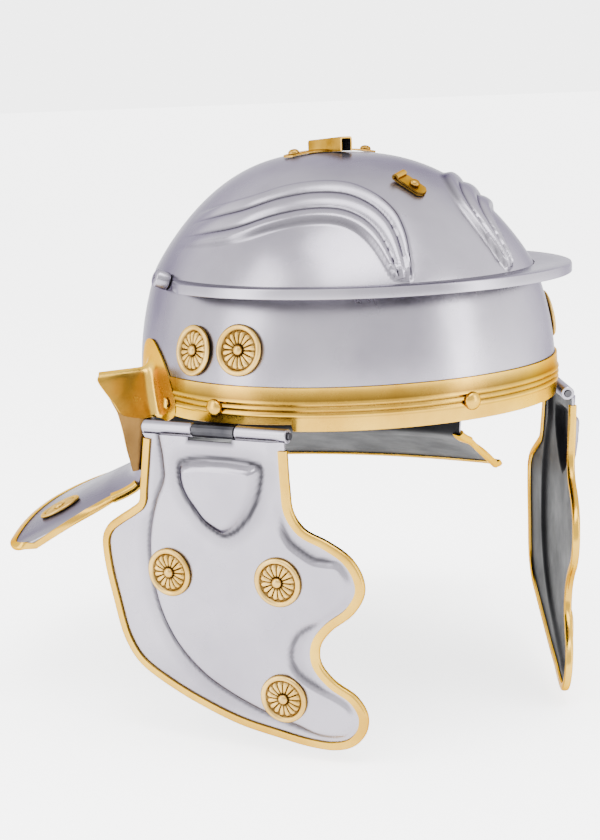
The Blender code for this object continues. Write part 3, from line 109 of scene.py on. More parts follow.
def sweepParts(sections, offset=0):
    # verts and faces of a closed bar through equal rings of points
    sections = np.asarray(sections, float)
    count, ring = sections.shape[:2]
    faces = gridFaces(count, ring, offset, closeRows=True)
    faces.append(tuple(range(offset, offset + ring))[::-1])
    faces.append(tuple(range(offset + (count - 1) * ring, offset + count * ring)))
    return sections.reshape(-1, 3), faces


def laterFaces(faces, ring, start):
    # 1 for each side face of a bar whose points all lie from this place of its section on
    return [int(len(f) == 4 and min(k % ring for k in f) >= start) for f in faces]


def axisFrame(axis):
    up = unit(axis)
    side = unit(np.cross(up, [0.0, 0.0, 1.0] if abs(up[2]) < 0.9 else [1.0, 0.0, 0.0]))
    return side, np.cross(up, side), up


def circles(rings, count, place, axes):
    # rings of points, each with its radius and height, round the last of three axes
    side, across, up = axes
    angles = np.arange(count) * 2 * pi / count
    spokes = np.outer(np.cos(angles), side) + np.outer(np.sin(angles), across)
    return [place + spokes * radius + np.outer(np.broadcast_to(height, count), up)
            for radius, height in rings]


def addObject(name, data):
    made = bpy.data.objects.new(name, data)
    bpy.context.scene.collection.objects.link(made)
    return made


def newMesh(name, verts, faces, faceLook=0, marks=0.0):
    # faceLook says which material each face has; marks darken the colour, mostly as painted shade in creases
    # and hollows
    mesh = bpy.data.meshes.new(name)
    mesh.from_pydata((np.asarray(verts) / 1000.0).tolist(), [], [tuple(int(k) for k in f) for f in faces])
    mesh.polygons.foreach_set("material_index", np.zeros(len(faces), np.int32) + np.int32(faceLook))
    shade = mesh.attributes.new("crease", "FLOAT", "POINT")
    shade.data.foreach_set("value", np.zeros(len(verts), np.float32) + np.float32(marks))
    work = bmesh.new()
    work.from_mesh(mesh)
    bmesh.ops.remove_doubles(work, verts=work.verts, dist=weldGap)
    bmesh.ops.dissolve_degenerate(work, dist=thinEdge, edges=work.edges)
    bmesh.ops.recalc_face_normals(work, faces=work.faces)
    work.to_mesh(mesh)
    work.free()
    return mesh


def makePiece(node, verts, faces, looks, slot, body=shell, sharp=40, faceLook=0, marks=0.0):
    # the visible piece that stands for one node of the solids
    mesh = newMesh(node + "_look", verts, faces, faceLook, marks)
    mesh.shade_smooth()
    mesh.set_sharp_from_angle(angle=radians(sharp))
    for look in looks:
        mesh.materials.append(look)
    piece = addObject(node + "_look", mesh)
    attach(piece, body)
    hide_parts(node)
    return piece


def sweptPiece(node, sections, look, slot="brass", **rest):
    makePiece(node, *sweepParts(sections), [look], slot, **rest)


def turnedPiece(node, rings, place, axis, lift, look, slot="brass", count=28, **rest):
    # a lathe-turned piece, lifted off its place
    sweptPiece(node, circles(rings, count, place + unit(axis) * lift, axisFrame(axis)), look, slot, **rest)


def rivetHead(node, place, axis, radius, rise, look):
    # a low straight foot under a rounded top
    foot, tip, steps = 0.2 * rise, 0.15, 7
    turns = pi / 2 * np.arange(1, steps + 1) / steps
    rings = [(radius, 0.0), (radius, foot)]
    rings += [(max(radius * cos(t), tip), foot + (rise - foot) * sin(t)) for t in turns]
    turnedPiece(node, rings, place, axis, seatGap, look, sharp=50)


# finishes

def setInputs(tree, node, inputs):
    # each input takes a value or another node's output
    for name, value in inputs.items():
        if isinstance(value, bpy.types.NodeSocket):
            tree.links.new(value, node.inputs[name])
        else:
            node.inputs[name].default_value = value


def addNode(tree, kind, output, inputs, **settings):
    # makes a node and gives back the output that is asked for
    node = tree.nodes.new("ShaderNode" + kind)
    for name, value in settings.items():
        setattr(node, name, value)
    setInputs(tree, node, inputs)
    return node.outputs[output]


def addNoise(tree, where, scale, detail, rough):
    return addNode(tree, "TexNoise", "Fac",
                   {"Vector": where, "Scale": scale, "Detail": detail, "Roughness": rough})


def addRange(tree, source, low, high, outLow, outHigh):
    return addNode(tree, "MapRange", "Result", {"Value": source, "From Min": low, "From Max": high,
                                                "To Min": outLow, "To Max": outHigh})


def addRamp(tree, source, low, high, colours):
    ramp = addNode(tree, "ValToRGB", "Color", {"Fac": source})
    for stop, position, colour in zip(ramp.node.color_ramp.elements, (low, high), colours):
        stop.position = position
        stop.color = (*colour, 1.0)
    return ramp


def newMaterial(name, metal, roughness, colour):
    made = bpy.data.materials.new(name)
    made.use_nodes = True
    shader = made.node_tree.nodes["Principled BSDF"]
    setInputs(made.node_tree, shader,
              {"Metallic": metal, "Roughness": roughness, "Base Color": (*colour, 1.0)})
    return made, made.node_tree, shader


sheetLook = {"patchRange": (0.32, 0.70), "cloudRange": (0.3, 0.7), "cloudScale": 2.3,
             "grainScale": 900.0, "grainDepth": 0.0001, "dentScale": 45.0, "dentDepth": 0.001}


def sheetMetal(name, colours, creaseColour, roughness, roughSpread, patchScale, grain, dents,
               metal=1.0, stretch=(1.0, 1.0, 6.0), gloss=0.5, edgeTint=(1.0, 1.0, 1.0)):
    # worked sheet: cloudy colour, fine polishing grain, faint dents, and a dark colour mixed in by the
    # crease marks: painted shade in creases and hollows, partly patina
    made, tree, shader = newMaterial(name, metal, roughness, colours[0])
    where = addNode(tree, "TexCoord", "Object", {})
    along = addNode(tree, "Mapping", "Vector", {"Vector": where, "Scale": stretch})
    patch = addRamp(tree, addNoise(tree, where, patchScale, 5.0, 0.55), *sheetLook["patchRange"], colours)
    crease = addNode(tree, "Attribute", "Fac", {}, attribute_name="crease")
    colour = addNode(tree, "Mix", "Result", {"Factor": crease, "A": patch, "B": (*creaseColour, 1.0)},
                     data_type="RGBA")
    cloud = addNoise(tree, where, patchScale * sheetLook["cloudScale"], 4.0, 0.6)
    spread = addRange(tree, cloud, *sheetLook["cloudRange"],
                      roughness - roughSpread, roughness + roughSpread)
    fine = addNoise(tree, along, sheetLook["grainScale"], 3.0, 0.6)
    wide = addNoise(tree, where, sheetLook["dentScale"], 2.0, 0.5)
    bump = addNode(tree, "Bump", "Normal",
                   {"Strength": grain, "Distance": sheetLook["grainDepth"], "Height": fine})
    bump = addNode(tree, "Bump", "Normal",
                   {"Strength": dents, "Distance": sheetLook["dentDepth"], "Height": wide, "Normal": bump})
    setInputs(tree, shader, {"Specular IOR Level": gloss, "Specular Tint": (*edgeTint, 1.0),
                             "Base Color": colour, "Roughness": spread, "Normal": bump})
    return made


satinSteel = sheetMetal("satinSteel", ((0.190, 0.177, 0.210), (0.340, 0.322, 0.360)), (0.02, 0.019, 0.022),
                        0.27, 0.06, 8.0, 0.10, 0.12, edgeTint=(0.30, 0.29, 0.33))
# hinge straps and pins: steel painted nearly black, painted shade standing in for the dark gaps round the
# knuckles
shadedHingeSteel = sheetMetal("shadedHingeSteel", ((0.018, 0.018, 0.021), (0.075, 0.073, 0.080)), (0.02, 0.02, 0.02),
                        0.34, 0.06, 30.0, 0.10, 0.12, edgeTint=(0.3, 0.3, 0.3))
# inside faces and the crest holder's lining: nearly black and without sheen, partly a blackened inside,
# partly painted shade
blackenedShadedSteel = sheetMetal("blackenedShadedSteel", ((0.0025, 0.0025, 0.003), (0.013, 0.013, 0.015)),
                            (0.005, 0.005, 0.006), 0.42, 0.08, 16.0, 0.12, 0.15, metal=0.0, gloss=0.02)
polishedBrass = sheetMetal("polishedBrass", ((0.36, 0.195, 0.018), (0.54, 0.335, 0.045)),
                           (0.05, 0.02, 0.004), 0.25, 0.07, 24.0, 0.10, 0.18, edgeTint=(0.6, 0.42, 0.16))
agedBrass = sheetMetal("agedBrass", ((0.17, 0.088, 0.014), (0.40, 0.24, 0.045)), (0.04, 0.016, 0.004),
                       0.32, 0.07, 60.0, 0.14, 0.18, edgeTint=(0.5, 0.34, 0.12))
castBrass = sheetMetal("castBrass", ((0.36, 0.215, 0.045), (0.52, 0.345, 0.105)), (0.035, 0.014, 0.003),
                       0.36, 0.06, 60.0, 0.25, 0.10, stretch=(1.0, 1.0, 1.0), edgeTint=(0.6, 0.45, 0.25))
brownBrass = sheetMetal("brownBrass", ((0.07, 0.033, 0.008), (0.22, 0.115, 0.028)), (0.03, 0.015, 0.01),
                        0.42, 0.08, 22.0, 0.2, 0.2, 0.9)
print("finishes ready")


# the bowl's form

bowl = {"rimLength": 112.4, "rimWidth": 97.8, "browLength": 105.2, "browWidth": 88.1, "browHeight": 62.7,
        "crownHeight": 118.5, "crownShift": 4.2, "swellLength": 3.0, "swellWidth": 4.0,
        "fullness": 0.18, "rise": 1.06, "round": 2.59}
rimShape = {"deg": (0, 42.7, 43, 88, 90.6, 91.2, 92.6, 94.6, 97, 180),
            "up": (0, 0, 3.2, 0.64, 0.64, 8.0, 15.04, 16.0, 0, 0)}


def rimUp(deg):
    return np.interp(np.abs(deg), rimShape["deg"], rimShape["up"])


def ringSizes(share):
    # half length and half width of the wall, at a share of its height
    swell = 4 * share * (1 - share)
    length = bowl["rimLength"] + (bowl["browLength"] - bowl["rimLength"]) * share
    width = bowl["rimWidth"] + (bowl["browWidth"] - bowl["rimWidth"]) * share
    return length + bowl["swellLength"] * swell, width + bowl["swellWidth"] * swell


def wallPoint(deg, up):
    length, width = ringSizes(np.clip(up, 0, None) / bowl["browHeight"])
    turn = np.radians(deg)
    x = width * np.sin(turn) * (1 + bowl["fullness"] * np.cos(turn))
    return np.stack([x, -length * np.cos(turn), np.broadcast_to(up, np.shape(x))], -1)


def domeUp(share):
    size = np.cos(np.clip(share, 0, 1) * pi / 2)
    rise = np.maximum(1 - size ** bowl["round"], 0) ** (1 / bowl["rise"])
    return bowl["browHeight"] + (bowl["crownHeight"] - bowl["browHeight"]) * rise


def domePoint(deg, share):
    size = np.cos(np.clip(share, 0, 1) * pi / 2)
    up = domeUp(share)
    shift = bowl["crownShift"] * (up - bowl["browHeight"]) / (bowl["crownHeight"] - bowl["browHeight"])
    turn = np.radians(deg)
    x = bowl["browWidth"] * size * np.sin(turn) * (1 + bowl["fullness"] * np.cos(turn))
    return np.stack([x, -bowl["browLength"] * size * np.cos(turn) - shift, up + 0 * x], -1)


def surfaceNormal(surface, a, b, stepA, stepB):
    return unit(np.cross(surface(a + stepA, b) - surface(a - stepA, b),
                         surface(a, b + stepB) - surface(a, b - stepB)))


# steps to either side in degrees, millimetres and shares, limits, and where the crown turns straight up
probe = {"deg": 0.5, "up": 0.5, "share": 0.005, "lowest": 0.6, "limits": (0.006, 0.985), "crown": 0.97}


def wallNormal(deg, up):
    return surfaceNormal(wallPoint, deg, np.maximum(up, probe["lowest"]), probe["deg"], probe["up"])


def domeNormal(deg, share):
    normal = surfaceNormal(domePoint, deg, np.clip(share, *probe["limits"]), probe["deg"], probe["share"])
    blend = np.clip((np.asarray(share) - probe["crown"]) / (1 - probe["crown"]), 0, 1)[..., None]
    return unit(normal * (1 - blend) + upward * blend)


# embossed eyebrows on the dome

eyebrow = {
    "height": 2.6, "ridges": 3, "steps": 8,
    # the hammered pair isn't even: degrees that each front end is turned aside, fading to the rear
    "shiftRight": 2.5, "shiftLeft": 9.0, "shiftEnd": 110.0,
    # shares of its width: the sloping edge, the painted shade line in it, the start and the width of the
    # grooves
    "edge": 0.15, "rim": 0.075, "grooveStart": 0.12, "groove": 0.42,
    "valley": 0.35, "roundness": 0.8, "grooveFade": 1.3, "grooveDark": 0.72, "rimDark": 0.62,
    # how far along, counted in rows, it takes to rise at the front and at the rear
    "frontStart": 0.1, "frontRise": 0.8, "rearRise": 1.6,
    # from the low front end round to the side: angle and dome share of the upper and the lower edge
    "rows": ((11.0, 0.03, 15.0, 0.09), (9.0, 0.25, 17.5, 0.21), (7.8, 0.39, 20.0, 0.295),
             (8.6, 0.475, 22.5, 0.345), (13.0, 0.553, 26.0, 0.385), (22.0, 0.616, 31.5, 0.410),
             (36.0, 0.636, 41.0, 0.412), (53.0, 0.615, 53.0, 0.380), (70.0, 0.555, 66.5, 0.320),
             (87.0, 0.505, 83.0, 0.285), (106.0, 0.455, 101.0, 0.260)),
}


def eyebrowPlace(deg, share):
    # how far along and across the band each point is; -1 outside it
    rows = smoothRows(eyebrow["rows"], eyebrow["steps"], weights=np.array([0.01, 1.0, 0.01, 1.0]))
    shift = np.where(deg > 0, eyebrow["shiftLeft"], eyebrow["shiftRight"])
    x = (np.abs(deg) - shift) / (1 - shift / eyebrow["shiftEnd"])
    along = np.full(x.shape, -1.0)
    across = np.full(x.shape, -1.0)
    for k in range(len(rows) - 1):
        upper = ((rows[k][:2], k, 0), (rows[k + 1][:2], k + 1, 0), (rows[k][2:], k, 1))
        lower = (upper[1], (rows[k + 1][2:], k + 1, 1), upper[2])
        for corners in (upper, lower):
            (x1, y1), (x2, y2), (x3, y3) = (c[0] for c in corners)
            area = (x2 - x1) * (y3 - y1) - (x3 - x1) * (y2 - y1)
            if abs(area) < 1e-9:
                continue
            b = ((x - x1) * (y3 - y1) - (x3 - x1) * (share - y1)) / area
            c = ((x2 - x1) * (share - y1) - (x - x1) * (y2 - y1)) / area
            a = 1 - b - c
            hit = (a >= -1e-6) & (b >= -1e-6) & (c >= -1e-6)
            along = np.where(hit, (a * corners[0][1] + b * corners[1][1] + c * corners[2][1]), along)
            across = np.where(hit, (a * corners[0][2] + b * corners[1][2] + c * corners[2][2]), across)
    return along / eyebrow["steps"], across


def eyebrowRelief(deg, share):
    # height of the emboss and the painted shade in its creases
    along, across = eyebrowPlace(deg, share)
    inside = across >= 0
    border = np.minimum(across, 1 - across)
    ends = ease(np.minimum((along + eyebrow["frontStart"]) / eyebrow["frontRise"],
                           (len(eyebrow["rows"]) - 1 - along) / eyebrow["rearRise"]))
    wave = np.abs(np.sin(eyebrow["ridges"] * pi * across))
    ridge = eyebrow["valley"] + (1 - eyebrow["valley"]) * wave ** eyebrow["roundness"]
    height = eyebrow["height"] * ease(border / eyebrow["edge"]) * ends * ridge
    # painted shade, partly patina: dark lines along both borders and between the ridges
    groove = np.clip(1 - wave / eyebrow["groove"], 0, 1) ** eyebrow["grooveFade"]
    groove = groove * (border >= eyebrow["grooveStart"])
    rim = np.clip(1 - np.abs(border - eyebrow["rim"]) / eyebrow["rim"], 0, 1)
    dark = ends * np.maximum(eyebrow["grooveDark"] * groove, eyebrow["rimDark"] * rim)
    return np.where(inside, height, 0.0), np.where(inside, dark, 0.0)


# nape and neck guard

nape = {
    "start": 97.0, "drop": 45.5,
    # share of the drop, half width, front edge, back, fullness, squareness of the plan
    "rows": ((0.44, 97.2, -18.5, -113.4, 0.17, 1.02), (0.73, 98.4, -22.5, -114.8, 0.16, 1.06),
             (0.86, 99.8, -24.6, -117.5, 0.15, 1.10), (0.945, 105.5, -27.6, -123.0, 0.12, 1.15),
             (1.0, 111.0, -30.5, -128.0, 0.10, 1.20)),
}
neckGuard = {
    "halfWidth": 152.5, "front": -54.7, "back": -177.0, "drop": 68.6, "backRise": 4.2,
    "shares": (0.0, 0.036, 0.085, 0.145, 0.217, 0.301, 0.398, 0.506, 0.627, 0.747, 0.873, 1.0),
    "outline": ((0.945, -0.035), (0.984, -0.012), (1.0, 0.03), (0.988, 0.085), (0.935, 0.19),
                (0.855, 0.33), (0.745, 0.495), (0.617, 0.65), (0.469, 0.79), (0.315, 0.90),
                (0.155, 0.975), (0.0, 1.0)),
    "bendSteps": 3, "flangeSteps": 12, "columnSteps": 6,
}


def napeRow(row, share):
    turn = pi / 2 * (1 - share)
    out = row[1] * np.sin(turn) * (1 - row[4] * np.cos(turn))
    back = (row[2] - row[3]) * np.maximum(np.cos(turn), 0) ** row[5]
    return np.stack([out, -(row[2] - back), np.full_like(out, -nape["drop"] * row[0])], -1)


def backGrid():
    # outside points of the wearer's left half: columns from the front edge to the middle of the back
    table = np.column_stack([neckGuard["shares"], neckGuard["outline"]])
    share, out, back = smoothRows(table, neckGuard["columnSteps"], weights=np.array([200.0, 100.0, 100.0])).T
    share[-1] = 1.0
    out[-1] = 0.0
    depth = neckGuard["front"] - neckGuard["back"]
    edge = np.stack([neckGuard["halfWidth"] * out, -(neckGuard["front"] - depth * back),
                     -(neckGuard["drop"] - neckGuard["backRise"] * back)], -1)
    deg = nape["start"] + (180 - nape["start"]) * share
    rows = [wallPoint(deg, np.full_like(deg, 6.0)), wallPoint(deg, np.zeros_like(deg))]
    rows += [napeRow(row, share) for row in nape["rows"]]
    rows += [rows[-1] + (edge - rows[-1]) * 0.12, edge]
    rows = np.stack(rows, 1)
    columns = []
    for column in rows:
        bend = smoothRows(column, neckGuard["bendSteps"])
        first = neckGuard["bendSteps"]                       # drops the stretch above the rim
        lastBend = len(bend) - 1 - neckGuard["bendSteps"]
        flange = [bend[lastBend] + (column[-1] - bend[lastBend]) * k / neckGuard["flangeSteps"]
                  for k in range(1, neckGuard["flangeSteps"] + 1)]
        columns.append(np.vstack([bend[first:lastBend + 1], flange]))
    columns = np.array(columns)
    columns[-1, :, 0] = 0.0
    return share, columns


backShare, backLeft = backGrid()
backDeg = nape["start"] + (180 - nape["start"]) * backShare
backFull = np.vstack([backLeft, flip(backLeft[:-1])[::-1]])


def gridNormals(grid):
    along = np.gradient(grid, axis=0)
    down = np.gradient(grid, axis=1)
    return unit(np.cross(down, along))


backNormals = gridNormals(backFull)


# mesh steps in degrees, rows up the wall and the dome, painted shade at the kink, and darkening down the
# neck guard
skull = {"fineStep": 0.6, "fineEnd": 48.0, "frontStep": 1.25, "wallRows": 12, "innerStep": 5,
         "browRows": 122, "browShare": 0.68, "topRows": 18, "cornerRoom": 0.25, "kinkShade": 0.25,
         "napeDarkStart": 6, "napeDarkRows": 8, "napeDarkness": 0.42, "innerShade": 0.5}


def skullDegrees():
    # mesh columns, with the rim's corners and the columns of the nape among them
    front = np.concatenate([np.arange(0, skull["fineEnd"], skull["fineStep"]),
                            np.arange(skull["fineEnd"], nape["start"], skull["frontStep"])])
    corners = np.array(rimShape["deg"][1:-1])
    front = front[np.min(np.abs(front[:, None] - corners[None]), axis=1) > skull["cornerRoom"]]
    side = np.unique(np.concatenate([front, corners, backDeg]))
    return np.concatenate([-side[::-1][:-1], side])


def bowlGrid(deg):
    # outside points, normals and crease shades from the rim up to the crown
    low = rimUp(deg)[:, None]
    ups = low + (bowl["browHeight"] - low) * np.linspace(0, 1, skull["wallRows"] + 1)
    shares = np.concatenate([np.linspace(0, skull["browShare"], skull["browRows"]),
                             np.linspace(skull["browShare"], 1, skull["topRows"])[1:]])
    wallDeg = np.broadcast_to(deg[:, None], ups.shape)
    domeDeg, domeShares = np.meshgrid(deg, shares, indexing="ij")
    height, dark = eyebrowRelief(domeDeg, domeShares)
    domeOut = domeNormal(domeDeg, domeShares)
    domePart = domePoint(domeDeg, domeShares) + domeOut * height[..., None]
    points = np.concatenate([wallPoint(wallDeg, ups), domePart[:, 1:]], axis=1)
    normals = np.concatenate([wallNormal(wallDeg, ups), domeOut[:, 1:]], axis=1)
    shades = np.concatenate([np.zeros(ups.shape), dark[:, 1:]], axis=1)
    # painted shade along the kink between the wall and the dome
    kink = slice(skull["wallRows"], skull["wallRows"] + 2)
    shades[:, kink] = np.maximum(shades[:, kink], skull["kinkShade"])
    return points, normals, shades


def buildSkull():
    deg = skullDegrees()
    outer, normals, shade = bowlGrid(deg)
    # the hidden inner face needs fewer rows
    kept = np.unique(np.append(np.arange(0, outer.shape[1], skull["innerStep"]), outer.shape[1] - 1))
    inner = (outer - normals * steelSheet)[:, kept]
    # the top of the back follows the bowl's rim
    back, backIn = backFull.copy(), backFull - backNormals * steelSheet
    match = np.searchsorted(deg, np.concatenate([backDeg, -backDeg[:-1][::-1]]))
    back[:, 0], backIn[:, 0] = outer[match, 0], inner[match, 0]
    verts, faces, look, ids = [], [], [], []
    for k, grid in enumerate((outer, inner, back, backIn)):
        start = sum(len(v) for v in verts)
        flat = gridFaces(*grid.shape[:2], start)
        faces += [f[::-1] for f in flat] if k % 2 else flat
        look += [k % 2] * len(flat)
        verts.append(grid.reshape(-1, 3))
        ids.append(start + np.arange(len(verts[-1])).reshape(grid.shape[:2]))
    # edges of the sheet: front rim, guard rim and the guard's two front edges
    front = np.abs(deg) <= nape["start"]
    for a, b in ((ids[0][front, 0], ids[1][front, 0]), (ids[2][:, -1], ids[3][:, -1]),
                 (ids[2][0], ids[3][0]), (ids[2][-1], ids[3][-1])):
        faces += [(a[k], b[k], b[k + 1], a[k + 1]) for k in range(len(a) - 1)]
        look += [0] * (len(a) - 1)
    # darker down the nape and neck guard from its sixth row on; inside, the painted shade of the crease
    # marks is halved
    napeDarkening = np.clip((np.arange(back.shape[1]) - skull["napeDarkStart"]) / skull["napeDarkRows"], 0, 1)
    shades = np.concatenate([shade.ravel(), shade[:, kept].ravel() * skull["innerShade"],
                             np.tile(napeDarkening * skull["napeDarkness"], len(back)), np.zeros(len(verts[3]))])
    makePiece("skull", np.vstack(verts), faces, [satinSteel, blackenedShadedSteel], "steel", sharp=60,
              faceLook=look, marks=shades)


buildSkull()
print("skull ready")


# folded edging

fold = {"bevel": 0.25, "belly": 0.12, "steps": 6, "roundness": 0.9, "inside": 0.8}


def foldSection(edge, normal, away, width, gap, thick, sheet):
    # a strip folded round a sheet's edge, rounded outside
    top, deep = gap + thick, sheet + gap
    middle, half = (top - (deep + thick)) / 2, (top + deep + thick) / 2
    outer = [(-width, gap), (-width + fold["bevel"], top), (0.0, top + fold["belly"])]
    for k in range(1, fold["steps"]):
        turn = pi / 2 - pi * k / fold["steps"]
        outer.append((gap + thick * fold["roundness"] * cos(turn), middle + half * sin(turn)))
    outer += [(0.0, -deep - thick - fold["belly"]), (-width + fold["bevel"], -deep - thick), (-width, -deep)]
    outer += [(gap * fold["inside"], -deep), (gap * fold["inside"], gap)]
    return [edge + away * a + normal * b for a, b in outer]


# width and thickness of the strip and of its two end sleeves
neckBinding = {"strip": (2.8, 0.6), "sleeve": (4.2, 1.1), "gap": 0.3, "smoothing": 7}


def buildNeckBinding():
    start = 3 * neckGuard["bendSteps"]
    cut = 2 * neckGuard["bendSteps"]
    rows, last = backFull.shape[1], backFull.shape[0] - 1
    path = [(0, j) for j in range(start, rows)] + [(i, rows - 1) for i in range(1, last)]
    path += [(last, j) for j in range(rows - 1, start - 1, -1)]
    points = np.array([backFull[i, j] for i, j in path])
    normals = np.array([backNormals[i, j] for i, j in path])
    tangents = np.gradient(points, axis=0)
    for _ in range(neckBinding["smoothing"]):
        tangents[1:-1] = unit(unit(tangents[:-2]) + 2 * unit(tangents[1:-1]) + unit(tangents[2:]))
        normals[1:-1] = unit(normals[:-2] + 2 * normals[1:-1] + normals[2:])
    away = unit(np.cross(tangents, normals))
    if away[len(away) // 2][1] < 0:
        away = -away
    for node, size, stretch in (("binding", "strip", slice(cut, -cut)),
                                ("sleeve_left", "sleeve", slice(cut + 1)),
                                ("sleeve_right", "sleeve", slice(-cut - 1, None))):
        width, thick = neckBinding[size]
        rings = [foldSection(e, n, a, width, neckBinding["gap"], thick, steelSheet)
                 for e, n, a in zip(points[stretch], normals[stretch], away[stretch])]
        sweptPiece("neck_guard_" + node, rings, polishedBrass)


buildNeckBinding()


# ear guards

earGuard = {
    "reach": 30.0, "steps": 8, "bendRadius": 7.5, "bendMost": (0.6, 0.5), "flangeSteps": 6, "bendSteps": 10,
    "tipRound": 0.2, "rivetSink": 0.1,
    # bend fore and up, flange edge fore and up, share of the lip's reach
    "rows": ((-0.5, -1.5, 9.0, -2.8, 0.36), (-1.2, 1.2, 18.2, 1.6, 0.66), (-2.6, 7.0, 20.9, 7.6, 0.78),
             (-4.2, 12.5, 18.4, 13.5, 0.90), (-5.8, 17.6, 13.6, 20.8, 1.0), (-7.4, 20.0, 4.0, 28.6, 0.97),
             (-9.8, 20.6, -9.0, 33.8, 0.94), (-12.4, 18.2, -22.0, 31.0, 0.90),
             (-14.0, 10.0, -27.0, 18.0, 0.78), (-15.0, 1.0, -28.0, 4.0, 0.64),
             (-17.5, -11.0, -30.0, -10.0, 0.46), (-20.5, -22.0, -33.0, -22.0, 0.30),
             (-23.5, -32.0, -35.0, -33.0, 0.14)),
    "rivets": (("front", 12.2, 6.6), ("rear", -27.5, -29.0)), "rivetRadius": 2.7, "rivetRise": 1.6,
}


def wallOut(fore, up):
    def ringOut(height):
        share = height / bowl["browHeight"]
        length, width = ringSizes(share)
        turn = acos(max(-1.0, min(1.0, fore / length)))
        return width * sin(turn) * (1 + bowl["fullness"] * cos(turn))

    if up >= 0:
        return ringOut(up)
    levels = [(0.0, ringOut(0.0))]
    for row in nape["rows"]:
        reach = (row[2] - fore) / (row[2] - row[3])
        turn = acos(max(reach, 0.0) ** (1 / row[5]))
        levels.append((-nape["drop"] * row[0], row[1] * sin(turn) * (1 - row[4] * cos(turn))))
    for (high, outHigh), (low, outLow) in zip(levels, levels[1:]):
        if up >= low:
            return outHigh + (outLow - outHigh) * (high - up) / (high - low)
    return levels[-1][1]


def sidePoint(fore, up):
    return np.array([wallOut(fore, up), -fore, up])


def sideNormal(fore, up):
    return surfaceNormal(sidePoint, fore, up, -1.0, 1.0)


def earSection(row):
    fore, up, edgeFore, edgeUp, lip = row
    bend, edge = sidePoint(fore, up), sidePoint(edgeFore, edgeUp)
    inward = unit(edge - bend)
    span = np.linalg.norm(edge - bend)
    out = np.array([1.0, 0.0, 0.0])
    reach = earGuard["reach"] * lip
    ofSpan, ofReach = earGuard["bendMost"]
    bendRound = min(earGuard["bendRadius"], span * ofSpan, reach * ofReach)
    low, high = seatGap, seatGap + brassSheet
    top, under = [], []
    for k in range(earGuard["flangeSteps"]):                  # flange from its edge to the rounding
        share = k / (earGuard["flangeSteps"] - 1) * (1 - bendRound / span)
        f, u = edgeFore + (fore - edgeFore) * share, edgeUp + (up - edgeUp) * share
        ground, normal = sidePoint(f, u), sideNormal(f, u)
        top.append(ground + normal * high)
        under.append(ground + normal * low)
    start, corner, end = under[-1], bend + sideNormal(fore, up) * low, bend + out * bendRound
    for k in range(1, earGuard["bendSteps"] + 1):             # smooth bend from the flange into the lip
        t = k / earGuard["bendSteps"]
        place = start * (1 - t) ** 2 + corner * 2 * t * (1 - t) + end * t * t
        along = unit((corner - start) * (1 - t) + (end - corner) * t)
        facing = inward + out
        facing = unit(facing - along * (facing @ along))
        top.append(place + facing * brassSheet)
        under.append(place)
    tip = [bend + out * a + inward * brassSheet * b for a, b in
           ((reach, 1.0), (reach + earGuard["tipRound"], 0.5), (reach, 0.0))]
    return np.array(top + tip + under[::-1])


def buildEarGuards():
    sections = np.array([earSection(row) for row in smoothRows(earGuard["rows"], earGuard["steps"])])
    ring = sections.shape[1]
    hidden = earGuard["flangeSteps"] + earGuard["bendSteps"] + 2
    for name, side in sides[::-1]:
        verts, faces = sweepParts(sections if side > 0 else flip(sections))
        makePiece("ear_guard_" + name, verts, faces, [polishedBrass, brownBrass], "brass", sharp=45,
                  faceLook=laterFaces(faces, ring, hidden))
        for which, fore, up in earGuard["rivets"]:
            normal = sideNormal(fore, up)
            place = sidePoint(fore, up) + normal * (2 * seatGap + brassSheet - earGuard["rivetSink"])
            if side < 0:
                place, normal = flip(place), flip(normal)
            rivetHead("ear_rivet_" + which + "_" + name, place, normal, earGuard["rivetRadius"],
                      earGuard["rivetRise"], polishedBrass)


buildEarGuards()


# brow band

browBand = {
    "height": 19.7, "thick": 0.9, "rib": 0.7, "endGap": 1.7, "end": 76.0, "step": 1.5, "grooveDark": 0.75,
    # share of the height and of the rib's depth
    "section": ((0.0, -0.5), (0.01, 0.0), (0.30, 0.0), (0.33, 0.6), (0.37, 1.0), (0.41, 0.6), (0.44, 0.0),
                (0.46, 0.3), (0.50, 1.0), (0.54, 0.6), (0.57, 0.0), (0.59, 0.3), (0.63, 1.0), (0.67, 0.6),
                (0.70, 0.0), (0.99, 0.0), (1.0, -0.5)),
    "inner": (1.0, 0.66, 0.33, 0.0), "ribs": (0.30, 0.72), "foot": 0.2, "cornerRoom": 0.8,
    "rivets": (("front", 0.0), ("right", -63.5), ("left", 63.5)), "rivetUp": 9.0,
    "rivetRadius": 4.2, "rivetRise": 3.0, "rivetSink": 0.3,
}


def bandEnd(up):
    # the band stops short of the ear guard's flange
    rows = np.array(earGuard["rows"])[1:6]
    fore = np.interp(up, rows[:, 3], rows[:, 2]) + browBand["endGap"]
    length, _ = ringSizes(up / bowl["browHeight"])
    return degrees(acos(fore / length))


def bandSection(deg, endSide=0):
    low = float(rimUp(deg))
    spots = [(max(browBand["height"] * share, low + browBand["foot"] * (share > 0)),
              seatGap + browBand["thick"] + browBand["rib"] * rib) for share, rib in browBand["section"]]
    spots += [(low + (browBand["height"] - low) * share, seatGap) for share in browBand["inner"]]
    points = []
    for up, out in spots:
        turn = endSide * bandEnd(up) if endSide else deg
        points.append(wallPoint(turn, up) + wallNormal(turn, up) * out)
    return points


